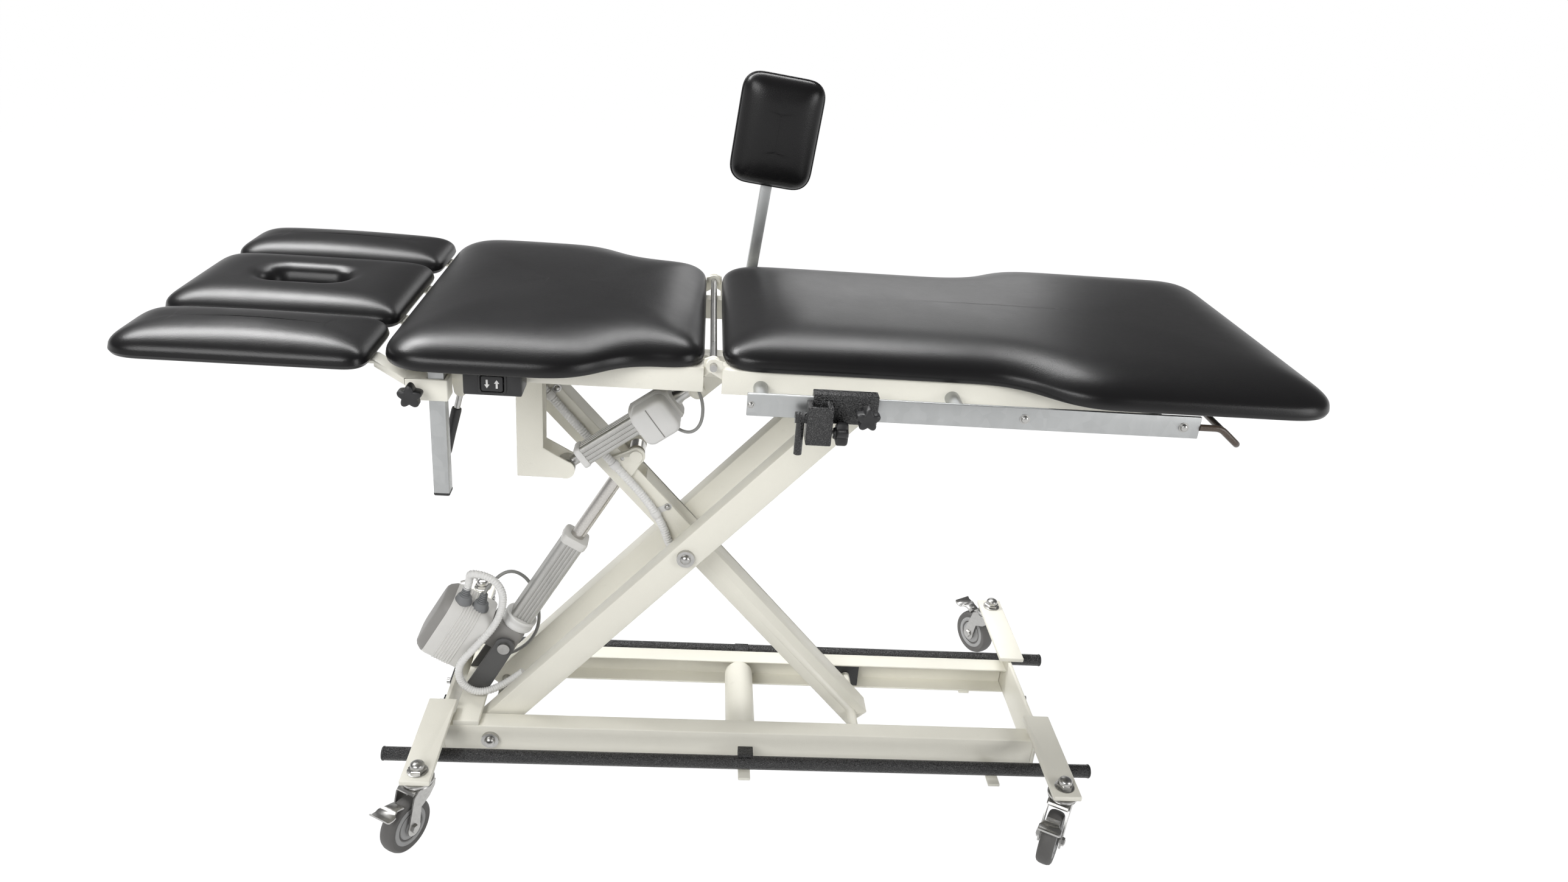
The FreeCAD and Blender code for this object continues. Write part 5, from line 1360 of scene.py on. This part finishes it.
# %% Clips
ARM_FACE_Y = -25
clip_screws = [(x, ARM_FACE_Y, z) for x, z in ((-124, 556), (-212, 656), (-332, 790))]
shape = bmesh.new()
for screw in clip_screws:
    target = Vector(screw) * MM
    k = min(range(1, len(arm_path) - 1), key=lambda i: (Vector(arm_path[i]) - target).length)
    spot = Vector(arm_path[k])
    way = Vector(arm_path[k + 1]) - Vector(arm_path[k - 1])
    band = bmesh.new()
    turned(band, [(8.4, -6), (9.3, -6), (9.6, -5), (9.6, 5), (9.3, 6), (8.4, 6)], 0, 28)
    absorb(shape, band, along(spot, way, (0, 1, 0)))
    tab = Vector((spot.x, (ARM_FACE_Y - 0.6) * MM, spot.z))
    reach = target - tab
    reach.y = 0
    strip = bmesh.new()
    loft(strip, [squared(reach.length / MM / 2 + 8, 6, 5, z) for z in (-0.4, 1.2)])
    absorb(shape, strip, along(tab + reach * 0.5, (0, -1, 0), reach))
add_piece("hose_clips", settle(shape), "inner_arm", [white_plastic])
clip_heads = [((x, y - 1.4, z), (0, -1, 0), 5.5) for x, y, z in clip_screws]
add_heads("hose_clip_screws", "inner_arm", clip_heads, 0.5)
print("clips", len(clip_screws))

# %% [markdown]
# ## Floor, light and camera
# The table stands on a plain white floor in a studio. The floor keeps the shadow but is lifted to white
# for the camera and for reflections, by mixing in a white emission for those rays. The world is white for
# the camera, and in reflections it is white along the horizon only, as a studio's sweep is, with a dimmer
# room above it. Five soft lamps light the object, so that a colour renders about as it is written. The
# camera is given by its place and three angles, and by a focal length in pixels of the full frame.

# %% Floor and world
FLOOR_HALF = 60.0
mesh = bpy.data.meshes.new("floor")
mesh.from_pydata([(-FLOOR_HALF, -FLOOR_HALF, 0), (FLOOR_HALF, -FLOOR_HALF, 0), (FLOOR_HALF, FLOOR_HALF, 0),
                  (-FLOOR_HALF, FLOOR_HALF, 0)], [], [(0, 1, 2, 3)])
floor = put("floor", mesh)


def backdrop_rays(tree):
    """Two masks: rays that leave the camera, and rays in a reflection or through a clear piece."""
    path = tree.nodes.new("ShaderNodeLightPath")
    seen, glossy, clear = (Term(path.outputs[kind])
                           for kind in ("Is Camera Ray", "Is Glossy Ray", "Is Transmission Ray"))
    return seen, glossy | clear


paper = Finish("studio_floor")
paper.surface(Base_Color=(0.86, 0.86, 0.86, 1), Roughness=0.9, Specular_IOR_Level=0.0)
glow = paper.node("ShaderNodeEmission", None, {"Color": (1, 1, 1, 1), "Strength": 1.12})
seen, mirrored = backdrop_rays(paper.tree)
blend_floor = paper.node("ShaderNodeMixShader", None, {
    0: (seen | mirrored) * 0.88, 1: Term(paper.shader.outputs[0]), 2: glow})
paper.tree.links.new(blend_floor.socket, paper.tree.nodes["Material Output"].inputs["Surface"])
mesh.materials.append(paper.material)

WORLD_LIGHT = 0.14
HORIZON_BAND = 0.12
world = bpy.data.worlds.new("studio")
scene.world = world
world.use_nodes = True
sky = world.node_tree
backdrop = sky.nodes["Background"]
backdrop.inputs["Color"].default_value = (1, 1, 1, 1)
heading = sky.nodes.new("ShaderNodeSeparateXYZ")
sky.links.new(sky.nodes.new("ShaderNodeTexCoord").outputs["Generated"], heading.inputs[0])
band = sky.nodes.new("ShaderNodeMapRange")
band.inputs["From Max"].default_value = HORIZON_BAND
band.inputs["To Min"].default_value = 1.0
band.inputs["To Max"].default_value = 0.0
sky.links.new(heading.outputs["Z"], band.inputs["Value"])
seen, mirrored = backdrop_rays(sky)
white = seen | mirrored * Term(band.outputs[0])
sky.links.new((white * (1 - WORLD_LIGHT) + WORLD_LIGHT).socket, backdrop.inputs["Strength"])
print("floor and world ready")

# %% Lamps


def softbox(name, spot, aim, width, height, power):
    lamp = bpy.data.lights.new(name, "AREA")
    lamp.shape = "RECTANGLE"
    lamp.size = width
    lamp.size_y = height
    lamp.energy = power
    holder = put(name, lamp)
    holder.location = spot
    holder.rotation_mode = "QUATERNION"
    holder.rotation_quaternion = (Vector(aim) - Vector(spot)).to_track_quat("-Z", "Y")


softbox("overhead", (-0.3, 1.5, 3.7), (0.0, 0, 0.8), 3.0, 0.95, 100)
softbox("window", (0.95, 3.6, 2.1), (0.2, 0, 0.95), 1.5, 0.8, 9)
softbox("pad_light", (-2.1, 1.0, 3.2), (-0.85, -0.2, 0.9), 1.6, 0.7, 85)
softbox("key", (-1.6, -2.6, 2.6), (0.1, 0, 0.6), 2.2, 1.6, 76)
softbox("fill", (2.8, -2.0, 1.8), (0.2, 0, 0.5), 1.6, 1.6, 38)
print("lamps", len(bpy.data.lights))

# %% Camera
FRAME_WIDTH = 2576
SENSOR_WIDTH = 36.0
FOCAL_PIXELS = 1828.37
CAMERA_SPOT = Vector((-86.9, -1922.7, 1568.9)) * MM
YAW, PITCH, ROLL = -0.092, -0.425, -0.088
turn = Matrix.Rotation(YAW, 3, "Z") @ Matrix.Rotation(PITCH, 3, "X") @ Matrix.Rotation(ROLL, 3, "Y")
right, forward, up = turn.transposed()
pose = Matrix((right, up, -forward)).transposed().to_4x4()
pose.translation = CAMERA_SPOT
lens = bpy.data.cameras.new("camera")
lens.sensor_fit = "HORIZONTAL"
lens.sensor_width = SENSOR_WIDTH
lens.lens = SENSOR_WIDTH * FOCAL_PIXELS / FRAME_WIDTH
lens.clip_end = 200.0
camera = put("camera", lens)
camera.matrix_world = pose
scene.camera = camera
scene.view_settings.view_transform = "Standard"
print("lens", round(lens.lens, 2), "mm")
